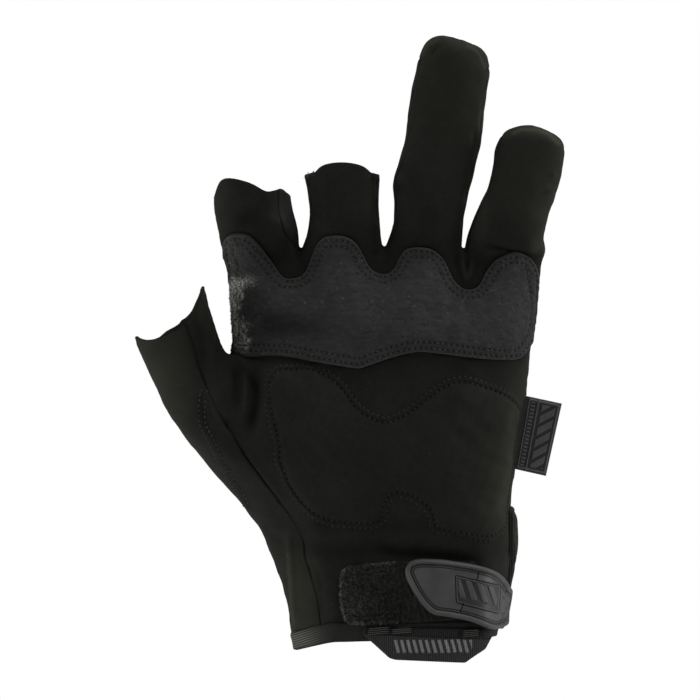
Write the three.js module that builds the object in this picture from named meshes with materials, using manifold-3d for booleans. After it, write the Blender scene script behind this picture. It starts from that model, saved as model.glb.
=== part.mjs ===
// A left-hand tactical work glove as it stands on a hand. The thumb, index and middle fingers
// are cut short and open, the ring and little fingers are whole. The palm carries a scalloped
// suede patch over the finger bases, a padded palm panel and a thumb patch. The wrist closes
// with a loop patch, a strap and a moulded tab, and has a turned hem, a pull tab and a side label.
//
// Millimetres. +Z runs from the wrist to the fingertips, the palm faces -Y, the thumb is at -X.
// The origin is the centre of the wrist opening, in the plane of its hem.
import * as THREE from "three";
import { mergeVertices } from "three/addons/utils/BufferGeometryUtils.js";
import Module from "manifold-3d";

const wasm = await Module();
wasm.setup();

// Driving dimensions
const PANEL_WALL = 1.6;
const FOURCHETTE_WALL = 1.2;
const SEAM_GAP = 0.3;
const HEM_RISE = 0.5;
const HEM_WALL = 2.4;
const REST_GAP = 0.3;
const PATCH_WALL = 1.3;
const THUMB_PATCH_WALL = 0.9;
const PAD_RISE = 2.4;
const LOOP_WALL = 2.0;
const STRAP_WALL = 2.2;
const TAB_WALL = 2.6;
const TAB_RIM_WIDTH = 2.8;
const TAB_RECESS = 0.8;
const PULL_TAB_WALL = 1.6;
const LABEL_WALL = 1.2;
const PALM_SQUARENESS = 2.6;
const FINGER_SQUARENESS = 2.355;
const FINGER_CORNER = 0.745;
const FIT_TURNS = 10;

// One object per row, keyed by the named columns.
function table(columns, ...rows) {
  return rows.map((row) => Object.fromEntries(columns.map((name, i) => [name, row[i]])));
}

// Cross-sections of the palm from the finger bases to the hem, and one below it that only
// shapes what hangs there. left and right are the side seams, seam the thumb seam on the palm,
// inner the same place on the back, ulnar the last column before the right seam. thenar, mid
// and heel are the depths of the palm side at the left, middle and right, back that of the back.
// leftY and rightY place the side seams in depth, valley is the dip between the fingers, and
// drop and lift bend the section down at its left end and up at its right end.
const PALM = table(
  ["z", "left", "right", "seam", "inner", "ulnar", "thenar", "mid", "heel", "back",
    "leftY", "rightY", "valley", "drop", "lift"],
  [132.0, -60.8, 49.3, -57.5, -57.5, 46.0, 13.0, 13.5, 12.5, 11.5, -1, -1, 6.0, 0, 0],
  [118.0, -58.6, 47.3, -53.5, -53.5, 43.0, 16.0, 17.0, 15.5, 14.0, -1, -1, 1.2, 0, 0],
  [98.5, -58.2, 45.0, -50.5, -50.5, 40.0, 20.0, 19.0, 18.5, 16.0, -2, -1, 0, 0, 0],
  [75.0, -78.0, 42.2, -59.8, -54.0, 36.5, 27.0, 20.5, 21.0, 17.5, -4, 0, 0, 0, 0],
  [46.0, -53.0, 38.5, -39.2, -44.0, 32.5, 25.0, 20.0, 21.5, 18.0, -7, 2, 0, 0, 0],
  [31.0, -44.3, 38.3, -33.2, -37.0, 32.0, 20.5, 17.3, 19.0, 18.5, -4, 2, 0, 0, 0],
  [17.0, -40.3, 36.5, -28.8, -32.0, 30.0, 21.0, 19.5, 20.5, 19.5, -2, 2, 0, 0, 0.3],
  [5.5, -37.6, 35.4, -27.2, -29.5, 29.0, 21.0, 20.0, 20.5, 20.0, -1, 1, 0, 1.0, 1.2],
  [-0.5, -36.4, 34.9, -26.6, -29.0, 28.5, 21.0, 20.0, 20.5, 20.0, -1, 1, 0, 2.4, 2.4],
  [-12.0, -36.2, 34.7, -26.4, -28.8, 28.4, 21.0, 20.0, 20.5, 20.0, -1, 1, 0, 2.4, 2.4],
);
const THUMB_TOP_ROW = 2;
const THUMB_LOW_ROW = 4;
const HEM_TOP_ROW = 7;
const HEM_ROW = 8;

// Finger middles and crotches across the top row, from the index finger to the little finger.
const KNUCKLE_X = [-47.5, -34.2, -19.7, -5.5, 8.3, 21.7, 35.5];
const CROTCH = { z: 134.6, y: -1.5 };

// Cross-sections of each digit from its base upwards: the left and right side seams as seen
// from the palm, the depth of the section's middle, half its depth, and two places across it
// as shares of half its width: the ridge of the palm side and the edge of its right strip.
const SECTION = ["leftX", "leftZ", "rightX", "rightZ", "midY", "depth", "ridge", "strip"];
const DIGITS = {
  thumb: table(
    SECTION,
    [-74.5, 70.0, -61.7, 102.2, -9.0, 17.5, 0.16, 0.745],
    [-82.5, 84.5, -63.2, 106.5, -13.5, 14.8, 0.28, 0.745],
    [-87.8, 95.5, -65.1, 113.5, -16.5, 13.4, 0.32, 0.745],
    [-91.2, 104.5, -67.2, 122.0, -18.5, 13.0, 0.13, 0.745],
  ),
  index: table(
    SECTION,
    [-63.0, 142.5, -35.3, 141.5, -2.5, 12.6, 0, 0.62],
    [-64.2, 148.5, -36.6, 147.5, -3.0, 12.4, 0, 0.64],
    [-64.5, 153.5, -37.5, 152.8, -3.4, 12.4, 0, 0.66],
  ),
  middle: table(
    SECTION,
    [-31.8, 143.0, -7.0, 143.0, -2.5, 12.6, 0, 0.745],
    [-31.6, 151.5, -7.2, 151.5, -3.0, 12.3, 0, 0.745],
    [-32.8, 160.3, -7.2, 160.3, -3.6, 12.4, 0, 0.745],
  ),
  ring: table(
    SECTION,
    [-2.0, 145.5, 21.8, 143.5, -2.5, 12.4, 0, 0.745],
    [-2.1, 157.0, 23.4, 153.8, -3.2, 12.2, 0, 0.745],
    [1.1, 168.3, 25.8, 165.0, -4.0, 12.0, 0, 0.745],
    [3.0, 180.0, 28.2, 175.5, -5.2, 11.6, 0, 0.745],
    [5.0, 191.0, 29.4, 187.4, -6.6, 11.2, 0, 0.745],
    [6.8, 200.5, 30.4, 197.0, -7.8, 10.4, 0, 0.745],
    [10.0, 206.8, 28.2, 203.2, -8.6, 7.4, 0, 0.745],
  ),
  little: table(
    SECTION,
    [24.1, 142.5, 49.7, 140.0, -2.5, 12.0, 0, 0.745],
    [28.4, 152.5, 52.6, 150.5, -3.4, 11.8, 0, 0.745],
    [31.6, 161.5, 55.5, 160.0, -4.6, 11.5, 0, 0.745],
    [32.8, 169.5, 56.7, 167.5, -6.0, 11.0, 0, 0.745],
    [34.8, 174.0, 55.9, 171.6, -7.0, 10.0, 0, 0.745],
    [38.8, 176.8, 53.0, 174.2, -7.6, 7.0, 0, 0.745],
  ),
};
const CAPS = {
  ring: [18.6, -8.8, 207.7],
  little: [45.3, -7.8, 177.7],
};
// How far each open digit's hem runs past the line between its side seams, at the six places
// between them in the order of a walk round the section.
const RIMS = {
  thumb: [-4.4, -7.0, -3.2, -4.0, -7.6, -5.0],
  index: [5.4, 4.1, 3.1, 0.7, 1.0, 0.7],
  middle: [1.8, 5.0, 1.8, 1.0, 1.5, 1.0],
};

// Outlines of what lies on the surface, as x and z seen from the palm side.
const PATCH_OUTLINE = [
  [-62.5, 139.5], [-58.6, 140.2], [-51.2, 139.4], [-46, 133.5], [-41, 127.5], [-38.3, 125.2],
  [-34, 124.6], [-30.5, 127.5], [-27, 136], [-23, 139.5], [-17.5, 139.2], [-13, 134.5],
  [-9.5, 128.5], [-5.5, 125.8], [-1.5, 127], [3, 133.5], [8, 135.4], [13, 133],
  [18, 124.5], [22.5, 120.5], [27.5, 122.3], [33, 130.5], [38.6, 133.4], [43.5, 131.5],
  [47, 126.5], [47.9, 118], [46.9, 110], [45.5, 103], [41, 98.2], [33, 96.8], [22, 97.8],
  [8, 99.5], [-3, 97.4], [-15, 94], [-25, 95], [-40, 98.2], [-52, 99.2], [-57, 102.5],
  [-60, 108], [-61, 118], [-62.5, 130],
];
const PAD_OUTLINE = [
  [-43, 93.5], [-38.5, 94.4], [-32, 94.6], [-25, 92.5], [-19, 87.6], [-14.5, 81.4], [-9, 77.3],
  [-5, 76.2], [0, 78], [9.7, 85.2], [14.7, 88.2], [20, 90.2], [25, 89.6], [30, 88.2], [35, 86.7],
  [40, 82.8], [41.7, 77.6], [40.5, 67], [38.9, 55], [38, 48], [36.5, 38.5], [31, 34.9],
  [24, 35.4], [15.5, 37.1], [10.9, 38.8], [9.7, 44], [3.6, 49], [-1.5, 49.8], [-4.7, 46.2],
  [-5.2, 41.7], [-8, 39.8], [-17.3, 39.5], [-25, 40.6], [-31, 43.7], [-35.7, 48.3], [-39.1, 53.1],
  [-41.1, 58], [-42.5, 61.9], [-42.8, 67.3], [-45.2, 77], [-46.2, 82.5], [-46.2, 87.6],
];
const THUMB_PATCH_OUTLINE = [
  [-67.4, 86.4], [-69.2, 85], [-69.3, 79.3], [-68.3, 70.7], [-65, 67.4], [-62.3, 62.8],
  [-59.7, 56.6], [-57, 52], [-54.5, 44.5], [-49, 39.6], [-41.5, 43.8], [-42.6, 49.5],
  [-48, 58], [-56.6, 68], [-62.8, 76.5],
];
const LOOP_OUTLINE = [[-20.6, 27.5], [-20.2, 4.6], [8, 6.4], [26, 8.0], [26, 28]];
const TAB_OUTLINE = [
  [1.6, 28], [11.5, 28.8], [19.5, 27.8], [28, 26], [36, 23], [44, 19], [44, 6], [36, 2.6],
  [28, 6.2], [19.5, 8.2], [10, 8.4], [5.6, 14.5],
];
const TAB_PLATE = [[19.1, 22.5], [34.6, 18.7], [34.5, 9.3], [19.9, 13.4]];
const STRAP_OUTLINE = [[-26, 36], [-27, 10], [-10, 6], [60, 3], [60, 47], [-8, 45]];
const PULL_TAB_OUTLINE = [
  [-13, 3.4], [-9.5, -0.6], [-2.2, -6.4], [21.8, -8.0], [27.5, -2.6], [29.5, 3.4],
];
const LABEL_OUTLINE = [[40, 85], [55.8, 81.6], [50.3, 56.6], [36, 59.8]];
const LABEL_Y = -3;

// The surface of the glove is a cage of four-sided faces, each tagged with its panel.
function newCage() {
  return { points: [], quads: [], tags: [] };
}
function addPoint(cage, x, y, z) {
  return cage.points.push(new THREE.Vector3(x, y, z)) - 1;
}
function addQuad(cage, corners, tag) {
  cage.quads.push(corners);
  cage.tags.push(tag);
}

// One palm section: column 0 is the left seam, 1 to 9 the palm side, 10 the right seam and
// 11 to 19 the back, in the order of a walk round the section.
const COLUMNS = 20;
const RIGHT_COLUMN = 10;
function palmSection(row, isTop) {
  const middle = (row.left + row.right) / 2;
  const reach = (row.right - row.left) / 2;
  const share = (x) => THREE.MathUtils.clamp((x - middle) / reach, -1, 1);
  const fullness = (x) => Math.pow(1 - Math.pow(Math.abs(share(x)), PALM_SQUARENESS), 1 / PALM_SQUARENESS);
  const palmDepth = (x) => {
    const edge = share(x) < 0 ? row.thenar : row.heel;
    return row.mid + (edge - row.mid) * THREE.MathUtils.smoothstep(Math.abs(share(x)), 0, 0.6);
  };
  const height = (x) => {
    const bend = share(x) < 0 ? -row.drop : row.lift;
    return row.z + bend * Math.pow(share(x), 4);
  };
  const between = (start, k) =>
    isTop && k > 0 && k < 8 ? KNUCKLE_X[k - 1] : THREE.MathUtils.lerp(start, row.ulnar, k / 8);
  const isValley = (k) => k > 0 && k < 8 && k % 2 === 0;
  const points = [[row.left, row.leftY, height(row.left)]];
  for (let k = 0; k <= 8; k++) {
    const x = between(row.seam, k);
    points.push([x, -palmDepth(x) * fullness(x) + (isValley(k) ? row.valley : 0), height(x)]);
  }
  points.push([row.right, row.rightY, height(row.right)]);
  for (let k = 8; k >= 0; k--) {
    const x = between(row.inner, k);
    points.push([x, row.back * fullness(x) - (isValley(k) ? row.valley : 0), height(x)]);
  }
  return points;
}

// A digit's section: left seam, palm side, right seam, back. rim lifts an open end's hem.
function digitSection(row, rim) {
  const left = new THREE.Vector3(row.leftX, row.midY, row.leftZ);
  const right = new THREE.Vector3(row.rightX, row.midY, row.rightZ);
  const middle = left.clone().add(right).multiplyScalar(0.5);
  const half = right.clone().sub(left).multiplyScalar(0.5);
  const along = new THREE.Vector3(-half.z, 0, half.x).normalize();
  const fullness = (across) =>
    Math.pow(1 - Math.pow(Math.abs(across), FINGER_SQUARENESS), 1 / FINGER_SQUARENESS);
  const [frontLeft, front, frontRight, backRight, back, backLeft] = rim || [0, 0, 0, 0, 0, 0];
  const places = [
    [-1, -1, 0],
    [-FINGER_CORNER, -1, frontLeft],
    [row.ridge, -1, front],
    [row.strip, -1, frontRight],
    [1, 1, 0],
    [FINGER_CORNER, 1, backRight],
    [0, 1, back],
    [-FINGER_CORNER, 1, backLeft],
  ];
  return places.map(([across, facing, lift]) =>
    middle
      .clone()
      .addScaledVector(half, across)
      .addScaledVector(along, lift)
      .add(new THREE.Vector3(0, facing * fullness(across) * row.depth, 0)),
  );
}

// Grows a digit upwards from the eight base points; sides names the panels of its eight strips.
function growDigit(cage, base, name, sides, tipSides) {
  let lower = base;
  DIGITS[name].forEach((row, level, rows) => {
    const last = level === rows.length - 1;
    const section = digitSection(row, last ? RIMS[name] : null);
    const upper = section.map((p) => addPoint(cage, p.x, p.y, p.z));
    const tags = last && tipSides ? tipSides : sides;
    upper.forEach((_, j) => {
      const next = (j + 1) % upper.length;
      addQuad(cage, [lower[j], lower[next], upper[next], upper[j]], tags[j]);
    });
    lower = upper;
  });
  if (!CAPS[name]) return;
  const tip = addPoint(cage, ...CAPS[name]);
  for (let j = 0; j < 8; j += 2)
    addQuad(cage, [lower[j], lower[j + 1], lower[(j + 2) % 8], tip], tipSides[j + (j % 4 === 0 ? 1 : 0)]);
}

function buildCage() {
  const cage = newCage();
  const rows = PALM.map((row, i) => palmSection(row, i === 0).map((p) => addPoint(cage, ...p)));
  const inThumb = (r, j) => r >= THUMB_TOP_ROW && r < THUMB_LOW_ROW && (j === 0 || j === COLUMNS - 1);
  for (let r = 0; r + 1 < rows.length; r++)
    for (let j = 0; j < COLUMNS; j++) {
      if (inThumb(r, j)) continue;
      const next = (j + 1) % COLUMNS;
      let tag = j < RIGHT_COLUMN ? "palm_panel" : "back_panel";
      if (r >= THUMB_LOW_ROW && j === 0) tag = "thumb_panel";
      if (r === HEM_TOP_ROW) tag = "wrist_hem";
      if (r >= HEM_ROW) tag = "below_hem";
      addQuad(cage, [rows[r + 1][j], rows[r + 1][next], rows[r][next], rows[r][j]], tag);
    }

  const top = rows[0];
  const crotches = [3, 5, 7].map((column) =>
    addPoint(cage, cage.points[top[column]].x, CROTCH.y, CROTCH.z));
  const base = (i) => [
    i === 0 ? top[0] : crotches[i - 1],
    top[1 + 2 * i],
    top[2 + 2 * i],
    top[3 + 2 * i],
    i === 3 ? top[RIGHT_COLUMN] : crotches[i],
    top[17 - 2 * i],
    top[18 - 2 * i],
    top[19 - 2 * i],
  ];
  const gussets = ["fourchette_index_middle", "fourchette_middle_ring", "fourchette_ring_little"];
  const fronts = ["palm_panel", "palm_panel"];
  const backs = ["back_panel", "back_panel"];
  const tipSides = ["palm_panel", ...fronts, "palm_panel", "back_panel", ...backs, "back_panel"];
  ["index", "middle", "ring", "little"].forEach((name, i) => {
    const left = i === 0 ? ["palm_panel", "back_panel"] : [gussets[i - 1], gussets[i - 1]];
    const right = i === 3 ? ["palm_panel", "back_panel"] : [gussets[i], gussets[i]];
    const sides = [left[0], ...fronts, right[0], right[1], ...backs, left[1]];
    growDigit(cage, base(i), name, sides, CAPS[name] ? tipSides : null);
  });

  const [high, half, low] = [THUMB_TOP_ROW, THUMB_TOP_ROW + 1, THUMB_LOW_ROW].map((r) => rows[r]);
  const inner = COLUMNS - 1;
  const thumbBase = [low[0], low[1], half[1], high[1], high[0], high[inner], half[inner], low[inner]];
  growDigit(cage, thumbBase, "thumb", [
    "thumb_panel", "thumb_panel", ...fronts, ...backs, ...backs,
  ]);
  return cage;
}

// One Catmull-Clark step. The cage's own points keep their places at the front of the list.
function subdivide(mesh) {
  const points = mesh.points.map(() => new THREE.Vector3());
  const faceSum = mesh.points.map(() => new THREE.Vector3());
  const midSum = mesh.points.map(() => new THREE.Vector3());
  const rimSum = mesh.points.map(() => new THREE.Vector3());
  const valence = mesh.points.map(() => 0);
  const rimCount = mesh.points.map(() => 0);
  const centres = mesh.quads.map((quad) =>
    quad.reduce((sum, v) => sum.add(mesh.points[v]), new THREE.Vector3()).multiplyScalar(0.25));
  const edges = new Map();
  mesh.quads.forEach((quad, f) =>
    quad.forEach((a, i) => {
      const b = quad[(i + 1) % 4];
      const key = a < b ? a + "_" + b : b + "_" + a;
      if (!edges.has(key)) edges.set(key, { a, b, faces: [], index: 0 });
      edges.get(key).faces.push(f);
      faceSum[a].add(centres[f]);
      valence[a] += 1;
    }));
  for (const edge of edges.values()) {
    const middle = mesh.points[edge.a].clone().add(mesh.points[edge.b]).multiplyScalar(0.5);
    const open = edge.faces.length === 1;
    const point = middle.clone();
    if (!open) point.multiplyScalar(0.5);
    if (!open) edge.faces.forEach((f) => point.addScaledVector(centres[f], 0.25));
    edge.index = points.push(point) - 1;
    for (const end of [edge.a, edge.b]) {
      midSum[end].add(middle);
      if (!open) continue;
      rimSum[end].add(middle);
      rimCount[end] += 1;
    }
  }
  mesh.points.forEach((p, v) => {
    const n = valence[v];
    if (rimCount[v]) points[v].copy(p).multiplyScalar(2).add(rimSum[v]).multiplyScalar(0.25);
    else if (n)
      points[v].copy(faceSum[v]).addScaledVector(midSum[v], 2).divideScalar(n)
        .addScaledVector(p, n - 3).divideScalar(n);
    else points[v].copy(p);
  });
  const out = { points, quads: [], tags: [] };
  const between = (a, b) => edges.get(a < b ? a + "_" + b : b + "_" + a).index;
  mesh.quads.forEach((quad, f) => {
    const centre = points.push(centres[f]) - 1;
    quad.forEach((v, i) => {
      const next = between(v, quad[(i + 1) % 4]);
      const before = between(quad[(i + 3) % 4], v);
      addQuad(out, [v, next, centre, before], mesh.tags[f]);
    });
  });
  return out;
}

// Moves the cage until its smoothed surface runs through the places that the tables give.
function fitCage(cage) {
  const goals = cage.points.map((p) => p.clone());
  for (let turn = 0; turn < FIT_TURNS; turn++) {
    const smooth = subdivide(cage);
    cage.points.forEach((p, v) => p.add(goals[v]).sub(smooth.points[v]));
  }
  return cage;
}

function vertexNormals(mesh) {
  const normals = mesh.points.map(() => new THREE.Vector3());
  for (const [a, b, c, d] of mesh.quads) {
    const p = mesh.points;
    const n = p[c].clone().sub(p[a]).cross(p[d].clone().sub(p[b]));
    for (const v of [a, b, c, d]) normals[v].add(n);
  }
  return normals.map((n) => (n.lengthSq() ? n.normalize() : n));
}

// Directed edges that belong to one face only: these run round the open sides of the faces.
function rimEdges(quads) {
  const seen = new Map();
  for (const quad of quads)
    quad.forEach((a, i) => {
      const b = quad[(i + 1) % 4];
      if (!seen.delete(b + "_" + a)) seen.set(a + "_" + b, [a, b]);
    });
  return [...seen.values()];
}

// A closed geometry from corner lists, with unused points left out.
function geometryFrom(points, triangles) {
  const geometry = new THREE.BufferGeometry();
  const corners = triangles.flat().flatMap((v) => points[v].toArray());
  geometry.setAttribute("position", new THREE.Float32BufferAttribute(corners, 3));
  geometry.computeVertexNormals();
  return geometry;
}

// The panel named tag as a wall that runs from rise above the surface to wall below that,
// kept half a seam gap away from its neighbours.
function panelGeometry(surface, normals, tag, rise, wall) {
  const quads = surface.quads.filter((_, f) => surface.tags[f] === tag);
  const openEdges = new Set(rimEdges(surface.quads).map(([a, b]) => a + "_" + b));
  const rim = rimEdges(quads);
  const pulls = new Map();
  for (const [a, b] of rim) {
    if (openEdges.has(a + "_" + b)) continue;
    const run = surface.points[b].clone().sub(surface.points[a]);
    for (const v of [a, b]) {
      const inward = normals[v].clone().cross(run).normalize();
      pulls.set(v, [...(pulls.get(v) || []), inward]);
    }
  }
  const count = surface.points.length;
  const outer = surface.points.map((p, v) => {
    const moved = p.clone().addScaledVector(normals[v], rise);
    const inwards = pulls.get(v);
    if (!inwards) return moved;
    const sum = inwards.reduce((total, d) => total.add(d), new THREE.Vector3());
    const mitre = inwards.length === 1 ? 1 : 2 / Math.max(1, sum.lengthSq() / 2);
    return moved.addScaledVector(sum.divideScalar(inwards.length), (SEAM_GAP / 2) * Math.min(2, mitre));
  });
  const inner = outer.map((p, v) => p.clone().addScaledVector(normals[v], -wall));
  const triangles = [];
  for (const [a, b, c, d] of quads) {
    triangles.push([a, b, c], [a, c, d]);
    triangles.push([a + count, c + count, b + count], [a + count, d + count, c + count]);
  }
  // Both panels at a seam split its walls along the same diagonal.
  for (const [a, b] of rim)
    if (a < b) triangles.push([b, a, a + count], [b, a + count, b + count]);
    else triangles.push([b, a, b + count], [a, a + count, b + count]);
  return geometryFrom([...outer, ...inner], triangles);
}

// A geometry as a manifold-3d solid, and back.
function toSolid(geometry) {
  const bare = new THREE.BufferGeometry();
  const loose = geometry.index ? geometry.toNonIndexed() : geometry;
  bare.setAttribute("position", loose.getAttribute("position"));
  const merged = mergeVertices(bare, 1e-4);
  return new wasm.Manifold(new wasm.Mesh({
    numProp: 3,
    vertProperties: merged.attributes.position.array,
    triVerts: new Uint32Array(merged.index.array),
  }));
}
function toGeometry(solid) {
  const mesh = solid.getMesh();
  const geometry = new THREE.BufferGeometry();
  geometry.setAttribute("position", new THREE.Float32BufferAttribute(mesh.vertProperties, 3));
  geometry.setIndex([...mesh.triVerts]);
  geometry.computeVertexNormals();
  return geometry;
}

// The whole glove as one filled solid, grown by rise (a length, or a function of the place),
// with its openings closed by fans.
function filledSolid(surface, normals, rise) {
  const height = typeof rise === "function" ? rise : () => rise;
  const points = surface.points.map((p, v) => p.clone().addScaledVector(normals[v], height(p)));
  const triangles = surface.quads.flatMap(([a, b, c, d]) => [[a, b, c], [a, c, d]]);
  const following = new Map(rimEdges(surface.quads));
  while (following.size) {
    const loop = [];
    let v = following.keys().next().value;
    while (following.has(v)) {
      loop.push(v);
      const next = following.get(v);
      following.delete(v);
      v = next;
    }
    const centre = loop.reduce((sum, i) => sum.add(points[i]), new THREE.Vector3()).divideScalar(loop.length);
    const hub = points.push(centre) - 1;
    loop.forEach((a, i) => triangles.push([loop[(i + 1) % loop.length], a, hub]));
  }
  return toSolid(geometryFrom(points, triangles));
}

// A closed outline through the points: smooth, or straight with rounded corners.
function smoothOutline(points, steps) {
  const knots = points.map(([x, z]) => new THREE.Vector3(x, z, 0));
  const curve = new THREE.CatmullRomCurve3(knots, true, "centripetal");
  return new THREE.Shape(curve.getPoints(steps).slice(0, -1).map((p) => new THREE.Vector2(p.x, p.y)));
}
function roundedOutline(points, radius) {
  const shape = new THREE.Shape();
  const corners = points.map(([x, z]) => new THREE.Vector2(x, z));
  corners.forEach((corner, i) => {
    const towards = (other) => {
      const way = other.clone().sub(corner);
      return corner.clone().addScaledVector(way, Math.min(0.45, radius / way.length()));
    };
    const enter = towards(corners[(i + corners.length - 1) % corners.length]);
    const leave = towards(corners[(i + 1) % corners.length]);
    if (i === 0) shape.moveTo(enter.x, enter.y);
    else shape.lineTo(enter.x, enter.y);
    shape.quadraticCurveTo(corner.x, corner.y, leave.x, leave.y);
  });
  shape.closePath();
  return shape;
}

// The outline as a block that runs along Y from one depth to the other.
function block(shape, fromY, toY, curveSegments = 4) {
  const options = { depth: toY - fromY, bevelEnabled: false, curveSegments };
  const geometry = new THREE.ExtrudeGeometry(shape, options);
  geometry.rotateX(Math.PI / 2);
  geometry.translate(0, toY, 0);
  return toSolid(geometry);
}

// Depths between which the blocks that cut the overlays run
const FAR_FRONT = -60;
const FAR_BACK = 60;
const PATCH_END_Y = -4;
const TAB_END_Y = 3;
const TAB_DESCENT = [26, 35];
const HEM_SLOPE = [6, 11];

const surface = subdivide(fitCage(buildCage()));
const normals = vertexNormals(surface);

// What lies between two heights above the surface, inside a block. Crumbs are dropped.
function overlay(outline, low, high) {
  const layer = filledSolid(surface, normals, high).subtract(filledSolid(surface, normals, low));
  const pieces = layer.intersect(outline).decompose();
  return pieces.reduce((best, piece) => (piece.volume() > best.volume() ? piece : best));
}

const group = new THREE.Group();
function addNode(name, geometry, color, roughness, metalness = 0) {
  const mesh = new THREE.Mesh(geometry, new THREE.MeshStandardMaterial({ color, roughness, metalness }));
  mesh.name = name;
  group.add(mesh);
}

// Sewn panels of the shell
const SYNTHETIC_LEATHER = 0x1b1b18;
const STRETCH_FABRIC = 0x161615;
const PATCH_SUEDE = 0x303030;
const LOOP_FABRIC = 0x141414;
const TAB_RUBBER = 0x3c3c3c;
const WEBBING = 0x242424;
const LABEL_FABRIC = 0x1c1c1c;
for (const name of ["palm_panel", "thumb_panel"])
  addNode(name, panelGeometry(surface, normals, name, 0, PANEL_WALL), SYNTHETIC_LEATHER, 0.85);
addNode("back_panel", panelGeometry(surface, normals, "back_panel", 0, PANEL_WALL), STRETCH_FABRIC, 0.9);
for (const name of ["fourchette_index_middle", "fourchette_middle_ring", "fourchette_ring_little"])
  addNode(name, panelGeometry(surface, normals, name, 0, FOURCHETTE_WALL), STRETCH_FABRIC, 0.9);
addNode("wrist_hem", panelGeometry(surface, normals, "wrist_hem", HEM_RISE, HEM_WALL), STRETCH_FABRIC, 0.9);

// Scalloped suede patch over the finger bases
const patchBlock = block(smoothOutline(PATCH_OUTLINE, 120), FAR_FRONT, PATCH_END_Y);
const patchSolid = overlay(patchBlock, REST_GAP, REST_GAP + PATCH_WALL);
addNode("finger_base_patch", toGeometry(patchSolid), PATCH_SUEDE, 0.9);

// Padded panel of the palm
const padBlock = block(smoothOutline(PAD_OUTLINE, 80), FAR_FRONT, PATCH_END_Y);
const padSolid = overlay(padBlock, REST_GAP, REST_GAP + PAD_RISE);
addNode("palm_pad", toGeometry(padSolid), SYNTHETIC_LEATHER, 0.85);

// Thumb patch
const thumbPatchBlock = block(smoothOutline(THUMB_PATCH_OUTLINE, 45), FAR_FRONT, PATCH_END_Y);
const thumbPatchSolid = overlay(thumbPatchBlock, REST_GAP, REST_GAP + THUMB_PATCH_WALL);
addNode("thumb_patch", toGeometry(thumbPatchSolid), SYNTHETIC_LEATHER, 0.85);

// Wrist closure: loop patch on the palm, strap over the back and round the side, tab at its end.
// All three clear the hem's raised band.
const rest = (p) => REST_GAP + HEM_RISE * (1 - THREE.MathUtils.smoothstep(p.z, ...HEM_SLOPE));
const loopTop = (p) => rest(p) + LOOP_WALL;
const loopBlock = block(roundedOutline(LOOP_OUTLINE, 3), FAR_FRONT, -8);
addNode("loop_patch", toGeometry(overlay(loopBlock, rest, loopTop)), LOOP_FABRIC, 0.95);

const strapBlock = block(roundedOutline(STRAP_OUTLINE, 7), TAB_END_Y + SEAM_GAP, FAR_BACK);
const strapTop = (p) => rest(p) + STRAP_WALL;
addNode("closure_strap", toGeometry(overlay(strapBlock, rest, strapTop)), STRETCH_FABRIC, 0.9);

// The tab lies on the loop patch and comes down to the glove beyond the patch's end. Its face
// is sunk inside a raised rim and carries a plate.
const descent = (p) => 1 - THREE.MathUtils.smoothstep(p.x, ...TAB_DESCENT);
const tabBottom = (p) => rest(p) + (LOOP_WALL + REST_GAP) * descent(p);
const tabTop = (p) => tabBottom(p) + TAB_WALL;
const tabBody = overlay(block(roundedOutline(TAB_OUTLINE, 3), FAR_FRONT, TAB_END_Y), tabBottom, tabTop);
const tabCentre = TAB_OUTLINE.reduce(
  (sum, [x, z]) => sum.add(new THREE.Vector2(x, z).divideScalar(TAB_OUTLINE.length)),
  new THREE.Vector2(),
);
const tabFace = TAB_OUTLINE.map(([x, z]) => {
  const way = new THREE.Vector2(x, z).sub(tabCentre);
  const share = 1 - TAB_RIM_WIDTH / way.length();
  return [tabCentre.x + way.x * share, tabCentre.y + way.y * share];
});
const sunk = filledSolid(surface, normals, (p) => tabTop(p) + TAB_RECESS)
  .subtract(filledSolid(surface, normals, (p) => tabTop(p) - TAB_RECESS))
  .intersect(block(roundedOutline(tabFace, 3), FAR_FRONT, TAB_END_Y - TAB_RIM_WIDTH))
  .subtract(block(roundedOutline(TAB_PLATE, 1), FAR_FRONT, TAB_END_Y, 2));
addNode("closure_tab", toGeometry(tabBody.subtract(sunk)), TAB_RUBBER, 0.55);

// Webbing pull tab below the hem
const pullBlock = block(roundedOutline(PULL_TAB_OUTLINE, 0.6), FAR_FRONT, -8);
const pullBottom = HEM_RISE + REST_GAP;
addNode("pull_tab", toGeometry(overlay(pullBlock, pullBottom, pullBottom + PULL_TAB_WALL)), WEBBING, 0.8);

// Side label, a flag that stands out of the right seam
const labelFront = LABEL_Y - LABEL_WALL / 2;
const labelBlock = block(roundedOutline(LABEL_OUTLINE, 0.5), labelFront, labelFront + LABEL_WALL);
const labelSolid = labelBlock.subtract(filledSolid(surface, normals, REST_GAP));
addNode("side_label", toGeometry(labelSolid), LABEL_FABRIC, 0.7);

export default group;
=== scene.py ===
import math

import bpy
import numpy as np
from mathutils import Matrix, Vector
from mathutils.kdtree import KDTree


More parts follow.
